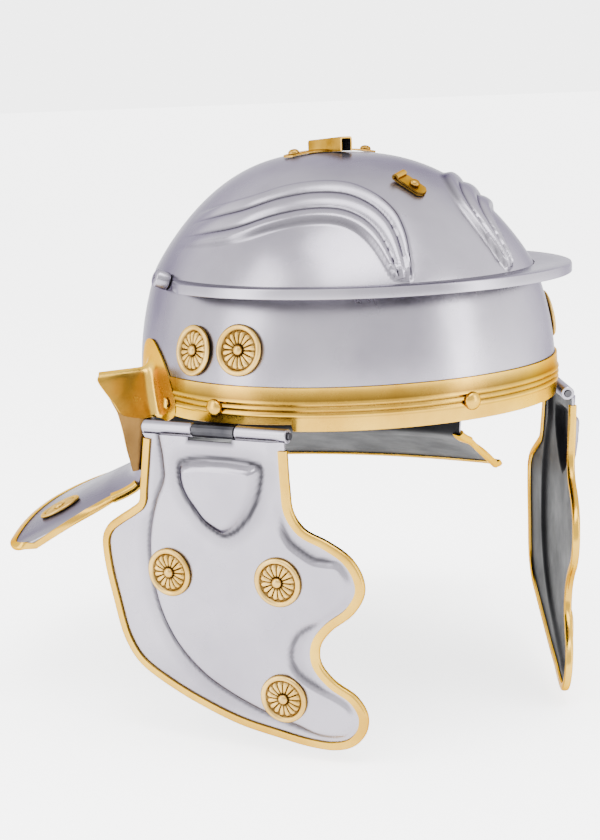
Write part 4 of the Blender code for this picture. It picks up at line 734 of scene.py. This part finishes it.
def buildBrowBand():
    corners = rimShape["deg"][1:3]
    stations = [d for d in np.arange(0, browBand["end"], browBand["step"])
                if abs(d - corners[1]) > browBand["cornerRoom"]]
    stations = sorted(stations + list(corners))
    sections = [bandSection(-stations[-1], -1)]
    sections += [bandSection(-d) for d in stations[:0:-1]] + [bandSection(d) for d in stations]
    sections += [bandSection(stations[-1], 1)]
    # painted shade in the grooves between the ribs
    low, high = browBand["ribs"]
    marks = [browBand["grooveDark"] * (1 - rib) if low < share < high else 0.0
             for share, rib in browBand["section"]] + [0.0] * len(browBand["inner"])
    sweptPiece("brow_band", sections, polishedBrass, sharp=50, marks=np.tile(marks, len(sections)))
    out = seatGap + browBand["thick"] + browBand["rib"] - browBand["rivetSink"]
    for name, deg in browBand["rivets"]:
        normal = wallNormal(deg, browBand["rivetUp"])
        rivetHead("band_rivet_" + name, wallPoint(deg, browBand["rivetUp"]) + normal * out, normal,
                  browBand["rivetRadius"], browBand["rivetRise"], polishedBrass)


buildBrowBand()
print("brass band, edging and ear guards ready")


# brow guard

browGuard = {"side": 10.5, "front": 20.5, "slope": 0.065, "lip": 4.2, "columns": 141,
             "endDeg": 84.0, "endFade": 10.0, "endReach": 0.45, "roundness": 0.8,
             "corner": 1.2, "cut": 0.35, "bevel": 0.2,
             "rivetRadius": 4.3, "rivetRise": 7.0, "rivetDeg": 93.0, "rivetDrop": 1.5}


def guardSection(deg):
    share = cos(radians(min(abs(deg) * 90 / browGuard["endDeg"], 90))) ** browGuard["roundness"]
    end = min(1.0, (browGuard["endDeg"] - abs(deg)) / browGuard["endFade"])
    reach = browGuard["side"] + (browGuard["front"] - browGuard["side"]) * share
    reach *= browGuard["endReach"] + (1 - browGuard["endReach"]) * end
    out = unit(wallNormal(deg, bowl["browHeight"] - 1.0) * np.array([1, 1, 0]))
    slope = unit(out + upward * browGuard["slope"])
    inner = wallPoint(deg, bowl["browHeight"]) + out * seatGap
    half, lip, under = steelSheet / 2, -browGuard["lip"], reach - steelSheet
    corner, cut, bevel = browGuard["corner"], browGuard["cut"], browGuard["bevel"]
    places = [(0.0, half), (reach * 0.5, half), (reach - corner, half), (reach - cut, half - cut),
              (reach, half - corner),
              (reach, lip + bevel), (reach - bevel, lip), (under + bevel, lip), (under, lip + bevel),
              (under, -half), (reach * 0.5, -half), (0.0, -half)]
    return [inner + slope * a + upward * b for a, b in places]


def buildBrowGuard():
    degs = np.linspace(-browGuard["endDeg"], browGuard["endDeg"], browGuard["columns"])
    sweptPiece("brow_guard", [guardSection(d) for d in degs], satinSteel, "steel")
    radius, rise = browGuard["rivetRadius"], browGuard["rivetRise"]
    # a tall head with a hollow in its top
    rings = [(radius - 0.3, 0.0), (radius, 0.3), (radius, rise - 1.2), (radius - 0.4, rise - 0.4),
             (radius - 1.2, rise), (1.0, rise), (0.9, rise - 0.6), (0.2, rise - 0.7)]
    for name, side in sides:
        spot = browGuard["rivetDeg"] * side, bowl["browHeight"] - browGuard["rivetDrop"]
        turnedPiece("brow_guard_rivet_" + name, rings, wallPoint(*spot), wallNormal(*spot), seatGap,
                    satinSteel, "steel", 32)


buildBrowGuard()


# rosettes

rosette = {
    "bowl": 11.8, "cheek": 11.4, "neck": 11.0, "petals": 16, "petalSides": 10,
    # share of the radius and height of the raised ring, from the back over its crest to the petals
    "ring": ((0.965, 0.0), (1.0, 0.35), (1.0, 0.85), (0.98, 1.3), (0.945, 1.62), (0.90, 1.78), (0.855, 1.74),
             (0.815, 1.5), (0.785, 1.15), (0.765, 0.8)),
    # ringMarks: painted shade on the ring's inner slope down to the petals
    "ringMarks": (0.0,) * 8 + (0.35, 0.7), "petalTip": 0.745, "petalRoot": 0.25, "petalSteps": 14,
    "field": 0.75, "petalFoot": 0.25, "petalRise": 1.0, "heart": (0.22, 0.03), "heartDrop": 0.3,
    # one petal, in shares of its pitch and of its length, and the painted shade in its grooves, beyond its
    # tip, at its root and round the heart
    "tipDrop": 0.30, "tipRound": 2.4, "halfWidth": 0.47, "tipSlope": 0.16, "lowBulge": 0.45,
    "bulgeFrom": 0.12, "bulgeSlope": 0.75, "grooveFrom": 0.33, "grooveSlope": 0.14, "tipShade": 0.08,
    "tipLap": 0.6, "rootShade": 0.22, "rootDark": 0.85, "dark": 0.9, "knobSink": 0.2,
    "knob": ((2.16, 0.0), (2.4, 0.33), (2.352, 0.88), (2.064, 1.496), (1.488, 1.936), (0.72, 2.156),
             (0.192, 2.2)),
}
# the neck guard's pair sits halfway across the flange
shellRosettes = {"bowl": (("front", 56.9, 35.4), ("rear", 72.0, 33.4)), "neck": (0.25, 0.46)}


def petalShape(share, angles):
    # rise of the petals and the painted shade in their grooves, beyond their tips and at their roots; share
    # runs from their roots to their tips
    turn = np.abs((angles * rosette["petals"] / (2 * pi)) % 1 - 0.5)
    tip = 1 - rosette["tipDrop"] * (2 * turn) ** rosette["tipRound"]
    ridge = np.sqrt(np.clip(1 - (turn / rosette["halfWidth"]) ** 2, 0, 1))
    length = np.clip((tip - share) / rosette["tipSlope"], 0, 1) ** 0.5
    low = rosette["lowBulge"]
    bulge = low + (1 - low) * sin(pi * min(1.0, rosette["bulgeFrom"] + share * rosette["bulgeSlope"]))
    groove = np.clip((turn - rosette["grooveFrom"]) / rosette["grooveSlope"], 0, 1)
    beyond = np.clip((share - tip) / rosette["tipShade"] + rosette["tipLap"], 0, 1)
    root = max(0.0, 1 - share / rosette["rootShade"]) * rosette["rootDark"]
    return ridge * length * bulge, np.maximum(np.maximum(groove, beyond) * rosette["dark"], root)


def buildRosette(name, place, normal, radius, body):
    count, steps = rosette["petals"] * rosette["petalSides"], rosette["petalSteps"]
    angles = np.arange(count) * 2 * pi / count
    rings = [(share * radius, height) for share, height in rosette["ring"]]
    # marks: painted shade on the ring's inner slope, between and beyond the petals and round the heart
    marks = [np.full(count, dark) for dark in rosette["ringMarks"]]
    for k in range(steps, -1, -1):
        rise, dark = petalShape(k / steps, angles)
        out = rosette["petalRoot"] + (rosette["petalTip"] - rosette["petalRoot"]) * k / steps
        rings.append((radius * out, rosette["field"] - rosette["petalFoot"] + rosette["petalRise"] * rise))
        marks.append(dark)
    rings += [(radius * share, rosette["field"] - rosette["heartDrop"]) for share in rosette["heart"]]
    marks += [np.full(count, rosette["dark"])] * len(rosette["heart"])
    turnedPiece(name, rings, place, normal, seatGap, castBrass, "cast_brass", count, body=body, sharp=70,
                marks=np.concatenate(marks))
    turnedPiece(name + "_knob", rosette["knob"], place, normal,
                seatGap + rosette["field"] - rosette["knobSink"], castBrass, body=body, sharp=60)


def buildShellRosettes():
    for name, side in sides:
        for which, deg, up in shellRosettes["bowl"]:
            buildRosette("bowl_rosette_" + which + "_" + name, wallPoint(deg * side, up),
                         wallNormal(deg * side, up), rosette["bowl"], shell)
    share, across = shellRosettes["neck"]
    k = int(np.searchsorted(backShare, share))
    blend = (share - backShare[k - 1]) / (backShare[k] - backShare[k - 1])
    column = backLeft[k - 1] * (1 - blend) + backLeft[k] * blend
    start, edge = column[-1 - neckGuard["flangeSteps"]], column[-1]
    normal = towards(unit(np.cross(edge - start, backLeft[k, -1] - backLeft[k - 1, -1])), upward)
    place = start + (edge - start) * across
    buildRosette("neck_rosette_left", place, normal, rosette["neck"], shell)
    buildRosette("neck_rosette_right", flip(place), flip(normal), rosette["neck"], shell)


buildShellRosettes()
print("rosettes ready")


# crest fittings

crestHook = {
    "width": 7.6, "length": 16.6, "loop": 1.7, "corner": 2.2, "y": -69.4, "deg": 2.0, "twist": 25.0,
    "bed": 95.0, "rivetRadius": 2.4, "rivetRise": 1.9, "seat": 0.4, "lift": 0.5, "mouth": 0.75, "turn": 0.8,
    "foot": 0.385, "centre": 0.52, "lip": 1.55, "lipUnder": 1.35, "arcSteps": 24, "bevel": (0.25, 0.8),
}
crestHolder = {"length": 29.0, "width": 6.8, "height": 6.6, "span": 52.0, "tongue": 9.0, "seat": 0.6,
               "pitch": 4.0, "footTilt": 0.3, "foot": 0.2, "rings": 9, "tongueRings": 15, "bevel": 0.25,
               "tongueTip": 0.25, "fold": 1.0, "foldCut": 0.3, "boreFold": 0.5,
               "rivetOut": 21.0, "rivetRadius": 2.7, "rivetRise": 2.0, "rivetSink": 0.1}


def domeShareAt(y):
    shares = np.linspace(0, 1, 2001)
    return float(np.interp(y, domePoint(np.zeros(2001), shares)[:, 1], shares))


def hookOutline(corner):
    # side view of the doubled strip: along it and above the dome
    hook = crestHook
    lower = hook["seat"]
    upper = lower + brassSheet + seatGap
    foot = -hook["length"] * hook["foot"] + corner
    centre = hook["length"] * hook["centre"]
    middle = lower + hook["lift"] + hook["loop"]
    bore = hook["loop"] - brassSheet
    steps = hook["arcSteps"]
    angles = [-pi / 2 + 2 * pi * hook["turn"] * k / steps for k in range(1, steps)]
    out = [(foot, lower), (centre, lower + hook["lift"])]
    out += [(centre + hook["loop"] * cos(a), middle + hook["loop"] * sin(a)) for a in angles]
    out += [(centre - hook["loop"] * hook["lip"], lower + 2 * brassSheet + hook["mouth"])]
    out += [(foot, upper + brassSheet)]
    out += [(foot, upper), (centre - hook["loop"] * hook["lipUnder"], lower + brassSheet + hook["mouth"])]
    out += [(centre + bore * cos(a), middle + bore * sin(a)) for a in reversed(angles)]
    out += [(centre, lower + hook["lift"] + brassSheet), (foot, lower + brassSheet)]
    return out


def buildCrestHook():
    share = domeShareAt(crestHook["y"])
    place = domePoint(crestHook["deg"], share)
    normal = domeNormal(crestHook["deg"], share)
    side = unit(np.array([1.0, 0, 0]) - normal * normal[0])
    rise = towards(np.cross(side, normal), upward)
    twist = radians(crestHook["twist"])
    climb = rise * cos(twist) - side * sin(twist)
    across = side * cos(twist) + rise * sin(twist)
    half, corner = crestHook["width"] / 2, crestHook["corner"]
    bevel, cutShare = crestHook["bevel"]
    cuts = ((half, corner), (half - bevel, corner * cutShare), (half - corner, 0.0))
    rings = []
    for x, cut in [(-x, cut) for x, cut in cuts] + list(cuts[::-1]):
        rings.append([place + across * x + climb * a + normal * (b - a * a / (2 * crestHook["bed"]))
                      for a, b in hookOutline(cut)])
    sweptPiece("crest_hook", rings, agedBrass, sharp=30)
    head = place + normal * (crestHook["seat"] + 2 * brassSheet + 2 * seatGap)
    rivetHead("crest_hook_rivet", head, normal, crestHook["rivetRadius"], crestHook["rivetRise"], agedBrass)


def besideCrown(x):
    # height of the dome beside the crown, from the crown's own level
    shares = np.linspace(0, 1, 2001)
    out = bowl["browWidth"] * np.cos(shares * pi / 2)
    return np.interp(np.abs(x), out[::-1], domeUp(shares)[::-1]) - bowl["crownHeight"]


def buildCrestHolder():
    crown = np.array([0.0, -bowl["crownShift"], bowl["crownHeight"]])
    half = crestHolder["width"] / 2
    seat, lift, sheet = crestHolder["seat"], crestHolder["height"], brassSheet
    pitch = tan(radians(crestHolder["pitch"]))
    # the tunnel's folded sides and roof, a little higher at the front, and its inside
    bore, foot = half - sheet, crestHolder["foot"]
    corner, cut, tilt = crestHolder["fold"], crestHolder["foldCut"], crestHolder["footTilt"]
    outside = [(half, foot), (half, lift - corner), (half - cut, lift - cut), (half - corner, lift)]
    inside = [(bore, foot), (bore, lift - 1.2), (bore - crestHolder["boreFold"], lift - sheet)]
    tunnel = [(-x, z) for x, z in outside] + outside[::-1] + inside + [(-x, z) for x, z in inside[::-1]]
    rings = []
    for y in np.linspace(-crestHolder["length"] / 2, crestHolder["length"] / 2, crestHolder["rings"]):
        rings.append([crown + np.array([x, y, z - pitch * y * (tilt + (1 - tilt) * z / lift)])
                      for x, z in tunnel])
    verts, faces = sweepParts(rings)
    lining = laterFaces(faces, len(tunnel), 2 * len(outside))
    # two tongues that lie on the dome
    reach, width, bevel = crestHolder["span"] / 2, crestHolder["tongue"] / 2, crestHolder["bevel"]
    tip = crestHolder["tongueTip"]
    for side in (-1, 1):
        rings = []
        for x in np.linspace(bore, reach, crestHolder["tongueRings"]):
            beyond = max(0.0, x - reach + width) / width
            end = width * ((1 - tip) * sqrt(max(0.0, 1 - beyond ** 4)) + tip)
            ring = [(-end, 0.0), (-end, sheet * 0.8), (-end + bevel, sheet),
                    (end - bevel, sheet), (end, sheet * 0.8), (end, 0.0)]
            rings.append([crown + np.array([side * x, y, besideCrown(x) + seat + z]) for y, z in ring])
        more, moreFaces = sweepParts(rings, len(verts))
        verts = np.vstack([verts, more])
        faces += moreFaces
    lining += [0] * (len(faces) - len(lining))
    makePiece("crest_holder", verts, faces, [agedBrass, blackenedShadedSteel], "brass", sharp=35, faceLook=lining)
    x = crestHolder["rivetOut"]
    slope = (besideCrown(x + 1) - besideCrown(x - 1)) / 2
    for name, side in sides:
        place = crown + np.array([x * side, 0, besideCrown(x) + seat + sheet - crestHolder["rivetSink"]])
        rivetHead("crest_holder_rivet_" + name, place, unit([-slope * side, 0, 1.0]),
                  crestHolder["rivetRadius"], crestHolder["rivetRise"], agedBrass)


buildCrestHook()
buildCrestHolder()
print("crest fittings ready")


# cheek plates

hinge = {"front": (80.6, -86.7, -1.0), "toeIn": 30.0, "length": 74.6, "roll": 3.3, "pin": 1.65,
         "clearance": 0.3, "straightTop": 34.0, "cutRoom": 0.5, "knuckleStart": 26.5, "knuckleLength": 21.6,
         "knuckleGap": 0.5, "endGap": 0.6, "plateTop": 0.4, "rollSides": 40, "rollBevel": 0.35}
cheek = {
    "width": 136.0, "height": 145.5, "bowLength": 3.7, "bowHeight": 6.3, "bowFrom": 0.15, "step": 1.8,
    "shield": 4.0, "trimWidth": 3.1, "mesh": 1.25, "rowPitch": 0.87, "edgeRoom": 0.55, "rearShare": 0.749,
    "curveSteps": 5, "fadeStart": 2.5, "fadeWidth": 3.0, "stepSlope": 3.2, "shieldSlope": 4.6,
    "shieldIn": 1.9, "innerShade": 0.5,
    # painted shade lines, partly patina: how far outside the edge, half width, soft border and darkness
    "panelLine": (1.5, 1.9, 1.3, 0.80), "shieldLine": (0.5, 2.1, 1.4, 0.96),
    # soft painted shades beside the lines and on the shield's slope: reach and darkness
    "panelShade": (8.0, 0.30), "shieldShade": (8.0, 0.42), "shieldInside": (4.5, 0.35),
    # painted shade round the knuckle's cut-out: width, soft border and darkness
    "knuckleShade": (1.6, 1.3, 0.85),
    # places in thousandths of the plate's width and height, from its rear top corner
    "outline": ((208, 30), (180, 195), (170, 240), (140, 262), (77, 298), (28, 332), (2, 375), (3, 455),
                (30, 585), (66, 715), (123, 793), (240, 857), (380, 912), (520, 955), (666, 981),
                (777, 998), (868, 1000), (935, 980), (980, 932), (990, 872), (955, 812), (878, 764),
                (835, 712), (837, 658), (878, 606), (958, 546), (1000, 478), (995, 420), (955, 361),
                (881, 316), (800, 281), (764, 232), (757, 160), (754, 42)),
    "panel": ((288, -50), (286, 93), (286, 156), (249, 234), (222, 315), (210, 395), (217, 508),
              (243, 606), (301, 705), (394, 790), (488, 841), (611, 889), (743, 926), (820, 950),
              (930, 945), (1150, 900), (1150, 830), (880, 815), (821, 798), (752, 759), (722, 712),
              (730, 658), (763, 612), (830, 580), (1100, 560), (1100, 400), (840, 385), (789, 362),
              (745, 331), (719, 282), (719, 234), (735, 190), (800, 150), (800, -50)),
    "shieldEdge": ((360, 98), (351, 130), (356, 170), (375, 210), (396, 236), (440, 285), (480, 308),
                   (513, 319), (550, 306), (588, 274), (618, 238), (642, 192), (655, 150), (662, 105),
                   (655, 92)),
    "rosettes": (("rear", 290, 461), ("front", 705, 456), ("low", 701, 838)),
}


def cheekPlace(rows):
    rows = np.asarray(rows, float) / 1000
    return np.stack([cheek["width"] * (rows[:, 0] - cheek["rearShare"]), cheek["height"] * rows[:, 1]], -1)


def lineAway(line):
    # outward directions along an open line
    ahead = line[np.minimum(np.arange(len(line)) + 1, len(line) - 1)]
    behind = line[np.maximum(np.arange(len(line)) - 1, 0)]
    return unit(np.stack([behind[:, 1] - ahead[:, 1], ahead[:, 0] - behind[:, 0]], -1))


cheekEdge = smoothRows(cheekPlace(cheek["outline"]), cheek["curveSteps"])
cheekEdge = cheekEdge - lineAway(cheekEdge) * (seatGap + brassSheet)       # inside the edging's outer face
panelEdge = smoothRows(cheekPlace(cheek["panel"]), cheek["curveSteps"], closed=True)
shieldEdge = smoothRows(cheekPlace(cheek["shieldEdge"]), cheek["curveSteps"], closed=True)


def lineDistance(points, line, closed):
    starts, ends = (line, np.roll(line, -1, axis=0)) if closed else (line[:-1], line[1:])
    best = np.full(len(points), 1e9)
    for p, q in zip(starts, ends):
        d = q - p
        t = np.clip(((points - p) @ d) / max(d @ d, 1e-9), 0, 1)
        best = np.minimum(best, np.linalg.norm(points - p - t[:, None] * d, axis=1))
    return best


def insideLine(points, line):
    hit = np.zeros(len(points), bool)
    x, y = points[:, 0], points[:, 1]
    for (x1, y1), (x2, y2) in zip(line, np.roll(line, -1, axis=0)):
        if y1 != y2:
            hit ^= ((y1 > y) != (y2 > y)) & (x < (x2 - x1) * (y - y1) / (y2 - y1) + x1)
    return hit


def signedDistance(points, line):
    return lineDistance(points, line, True) * np.where(insideLine(points, line), 1.0, -1.0)


def darkLine(distance, half, soft, dark):
    return np.clip((half - np.abs(distance)) / soft, 0, 1) * dark


def softShade(distance, reach, dark):
    return np.clip(1 - distance / reach, 0, 1) * (distance > 0) * dark


def cheekRelief(points):
    panel = signedDistance(points, panelEdge)
    shield = signedDistance(points, shieldEdge)
    edge = lineDistance(points, cheekEdge, False)
    fade = ease((edge - cheek["trimWidth"] - cheek["fadeStart"]) / cheek["fadeWidth"] + 0.5)
    rise = cheek["step"] * ease(panel / cheek["stepSlope"] + 0.5) * fade
    rise += cheek["shield"] * ease((shield - cheek["shieldIn"]) / cheek["shieldSlope"] + 0.5)
    # painted shade round the cut-out of the middle knuckle
    half = hinge["knuckleLength"] / 2
    aside = np.abs(points[:, 0] + hinge["knuckleStart"] + half) - half
    below = points[:, 1] - hinge["roll"] - hinge["cutRoom"]
    width, soft, dark = cheek["knuckleShade"]
    # painted shade: a dark line at each foot, partly patina, with a soft shade beside it
    foot = panel + cheek["panelLine"][0]
    shades = [darkLine(foot, *cheek["panelLine"][1:]) * fade, softShade(-foot, *cheek["panelShade"]) * fade,
              darkLine(shield + cheek["shieldLine"][0], *cheek["shieldLine"][1:]),
              softShade(-shield, *cheek["shieldShade"]), softShade(shield, *cheek["shieldInside"]),
              np.clip(width - np.maximum(aside, below) / soft, 0, 1) * dark]
    return rise, np.max(shades, axis=0)


def hingeFrame(side):
    toe = radians(hinge["toeIn"])
    front = np.array(hinge["front"])
    rear = np.array([sin(toe), cos(toe), 0.0])
    out = np.array([cos(toe), -sin(toe), 0.0])
    return (flip(front), flip(rear), flip(out)) if side < 0 else (front, rear, out)


def cheekPoint(where, fore, down, lift):
    front, rear, out = where
    middle = (fore + hinge["length"] / 2) / (cheek["width"] / 2)
    # straight where it meets the hinge
    below = np.clip(down / hinge["straightTop"] - cheek["bowFrom"], 0, 1)
    bow = -cheek["bowLength"] * below * middle ** 2 - cheek["bowHeight"] * (down / cheek["height"]) ** 2
    height = hinge["roll"] + bow + lift
    return (front - np.multiply.outer(fore, rear) + np.multiply.outer(height, out)
            + np.multiply.outer(-down, upward))


def plateOutline():
    top = hinge["pin"] + hinge["clearance"] + hinge["plateTop"]
    gapDown = hinge["roll"] + hinge["cutRoom"]
    gapFront = -hinge["knuckleStart"] + hinge["knuckleGap"]
    gapRear = -hinge["knuckleStart"] - hinge["knuckleLength"] - hinge["knuckleGap"]
    corners = np.array([(-hinge["endGap"], top), (gapFront, top), (gapFront, gapDown), (gapRear, gapDown),
                        (gapRear, top), (hinge["endGap"] - hinge["length"], top)])
    line = list(cheekEdge)
    for a, b in zip(corners, corners[1:]):
        count = max(1, int(dist(a, b) / cheek["mesh"]))
        line += [a + (b - a) * k / count for k in range(count)]
    return np.array(line + [corners[-1]])


def flatPlate():
    line, step = plateOutline(), cheek["mesh"]
    low, high = line.min(axis=0), line.max(axis=0)
    rows = np.arange(low[1] + step * 0.5, high[1], step * cheek["rowPitch"])  # staggered rows of points
    inner = np.array([(x + (step / 2 if k % 2 else 0), y) for k, y in enumerate(rows)
                      for x in np.arange(low[0], high[0], step)])
    inner = inner[insideLine(inner, line)]
    inner = inner[lineDistance(inner, line, True) > step * cheek["edgeRoom"]]
    points = [Vector(p) for p in np.vstack([line, inner])]
    edges = [(k, (k + 1) % len(line)) for k in range(len(line))]
    verts, _, faces, _, _, _ = delaunay_2d_cdt(points, edges, [], 1, 1e-5)
    return np.array([tuple(v) for v in verts]), faces


def addRoll(plate, where, start, length):
    # joins one of the plate's two hinge rolls, a thick tube round the pin, to the plate
    front, rear, out = where
    radius, bore, bevel = hinge["roll"], hinge["pin"] + hinge["clearance"], hinge["rollBevel"]
    end, count = start + length, hinge["rollSides"]
    profile = [(bore, start), (radius - bevel, start), (radius, start + bevel), (radius, end - bevel),
               (radius - bevel, end), (bore, end)]
    rings = circles(profile, count, front, (out, upward, rear))
    faces = gridFaces(len(rings), count, closeRows=True, closeColumns=True)
    guide = addObject("roll", newMesh("roll", np.vstack(rings), faces))
    union = plate.modifiers.new("union", "BOOLEAN")
    union.operation = "UNION"
    union.solver = "EXACT"
    union.object = guide
    bpy.context.view_layer.update()
    done = bpy.data.meshes.new_from_object(plate.evaluated_get(bpy.context.evaluated_depsgraph_get()))
    plate.modifiers.clear()
    plate.data = done
    bpy.data.objects.remove(guide, do_unlink=True)


plateVerts, plateFaces = flatPlate()
plateRise, plateCrease = cheekRelief(plateVerts)


def buildPlate(name, where, body):
    x, y = plateVerts.T
    outer, inner = (cheekPoint(where, x, y, plateRise - depth) for depth in (0, steelSheet))
    count = len(plateVerts)
    faces = [tuple(f) for f in plateFaces] + [tuple(k + count for k in f[::-1]) for f in plateFaces]
    look = [0] * len(plateFaces) + [1] * len(plateFaces)
    # an edge that only one face uses lies on the border and gets a face across the sheet
    uses = {}
    for face in plateFaces:
        for a, b in zip(face, list(face[1:]) + [face[0]]):
            key = (min(a, b), max(a, b))
            uses[key] = uses.get(key, 0) + 1
    border = [(a, b, b + count, a + count) for (a, b), n in uses.items() if n == 1]
    plate = makePiece("cheek_plate_" + name, np.vstack([outer, inner]), faces + border,
                      [satinSteel, blackenedShadedSteel], "steel", body, faceLook=look + [0] * len(border),
                      marks=np.concatenate([plateCrease, plateCrease * cheek["innerShade"]]))
    rearStart = hinge["knuckleStart"] + hinge["knuckleLength"] + hinge["knuckleGap"]
    addRoll(plate, where, 0.0, hinge["knuckleStart"] - hinge["knuckleGap"])
    addRoll(plate, where, rearStart, hinge["length"] - rearStart)


def buildCheek(name, side):
    where, body = hingeFrame(side), "cheek_" + name
    out = where[2]
    buildPlate(name, where, body)
    sections = []
    for (fore, down), away in zip(cheekEdge, lineAway(cheekEdge)):
        edge = cheekPoint(where, fore, down, 0.0)
        outward = cheekPoint(where, fore + away[0], down + away[1], 0.0) - edge
        sections.append(foldSection(edge, out, outward, cheek["trimWidth"], seatGap, brassSheet, steelSheet))
    sweptPiece("cheek_trim_" + name, sections, polishedBrass, body=body)
    for which, *spot in cheek["rosettes"]:
        x, y = cheekPlace([spot])[0]
        normal = surfaceNormal(lambda fore, down: cheekPoint(where, fore, down, 0), x, y, 1, 1)
        buildRosette("cheek_rosette_" + which + "_" + name, cheekPoint(where, x, y, cheek["step"]),
                     towards(normal, out), rosette["cheek"], body)


for side in sides:
    buildCheek(*side)
print("cheek plates ready")


# what the imported model already shows well enough keeps its shape; the hinge straps and pins get the nearly
# black steel, painted shade for the gaps round the knuckles

plainLooks = {"hinge_strap": shadedHingeSteel, "hinge_pin": shadedHingeSteel}
for node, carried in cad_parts.items():
    for start, look in plainLooks.items():
        if node.startswith(start):
            carried.data.materials.clear()
            carried.data.materials.append(look)


# floor, lights and camera

studio = {
    "floorDrop": 0.152, "floorSize": 60.0, "floorTone": 0.93, "floorSpread": 0.01, "floorGlow": 2.2,
    # light from straight above, from the side behind the helmet and from behind the camera
    "above": 2.7, "behind": 4.45, "before": 2.6, "aboveFrom": (0.35, 0.9), "turn": (-0.7, 0.7),
    "farSide": (0.547, 0.837, 0.0),
    # name, place, width, height, power; all aim at the middle of the helmet
    "lamps": (("leftSoftbox", (-1.1, 0.1, 0.5), 0.5, 1.4, 16.0),
              ("topSoftbox", (-0.1, -0.5, 1.2), 1.0, 0.7, 22.0),
              ("rightSoftbox", (0.7, -1.1, 0.35), 0.35, 1.2, 12.0)),
    "camera": (-0.485447, -0.742830, 0.150151), "cameraTurn": (79.418, 1.8277, -32.425), "lens": 76.371,
}


def buildWorld():
    world = bpy.data.worlds.new("studio")
    world.use_nodes = True
    tree = world.node_tree
    where = addNode(tree, "TexCoord", "Generated", {})
    facing = tree.nodes.new("ShaderNodeVectorMath")
    facing.operation = "DOT_PRODUCT"
    facing.inputs[1].default_value = studio["farSide"]
    tree.links.new(where, facing.inputs[0])
    level = addRange(tree, facing.outputs["Value"], *studio["turn"], studio["before"], studio["behind"])
    height = addNode(tree, "SeparateXYZ", "Z", {"Vector": where})
    share = addRange(tree, height, *studio["aboveFrom"], 0.0, 1.0)
    light = addNode(tree, "Mix", "Result", {"Factor": share, "A": level, "B": studio["above"]})
    grey = addNode(tree, "CombineXYZ", "Vector", {"X": light, "Y": light, "Z": light})
    setInputs(tree, tree.nodes["Background"], {"Color": grey, "Strength": 1.0})
    bpy.context.scene.world = world


def buildFloor():
    half, tone, spread = studio["floorSize"] / 2, studio["floorTone"], studio["floorSpread"]
    mesh = bpy.data.meshes.new("floor")
    corners = [(x * half, y * half, -studio["floorDrop"]) for x, y in ((-1, -1), (1, -1), (1, 1), (-1, 1))]
    mesh.from_pydata(corners, [], [(0, 1, 2, 3)])
    floor = addObject("floor", mesh)
    pale, tree, shader = newMaterial("paleFloor", 0.0, 0.9, (tone,) * 3)
    grain = addNoise(tree, addNode(tree, "TexCoord", "Object", {}), 3.0, 4.0, 0.5)
    shades = addRamp(tree, grain, 0.3, 0.7, ((tone - spread,) * 3, (tone + spread,) * 3))
    setInputs(tree, shader, {"Base Color": shades, "Emission Color": (1.0, 1.0, 1.0, 1.0),
                             "Emission Strength": studio["floorGlow"]})
    mesh.materials.append(pale)


def buildLamps():
    for name, place, width, height, power in studio["lamps"]:
        data = bpy.data.lights.new(name, "AREA")
        data.shape = "RECTANGLE"
        data.size = width
        data.size_y = height
        data.energy = power
        lamp = addObject(name, data)
        lamp.location = place
        lamp.rotation_euler = (-Vector(place)).to_track_quat("-Z", "Y").to_euler()


def buildCamera():
    data = bpy.data.cameras.new("photoCamera")
    data.lens = studio["lens"]
    data.sensor_width = 36.0
    data.clip_start = 0.01
    camera = addObject("photoCamera", data)
    camera.location = studio["camera"]
    camera.rotation_euler = [radians(a) for a in studio["cameraTurn"]]
    bpy.context.scene.camera = camera


buildFloor()
buildWorld()
buildLamps()
buildCamera()
print("studio ready")


bpy.context.view_layer.update()
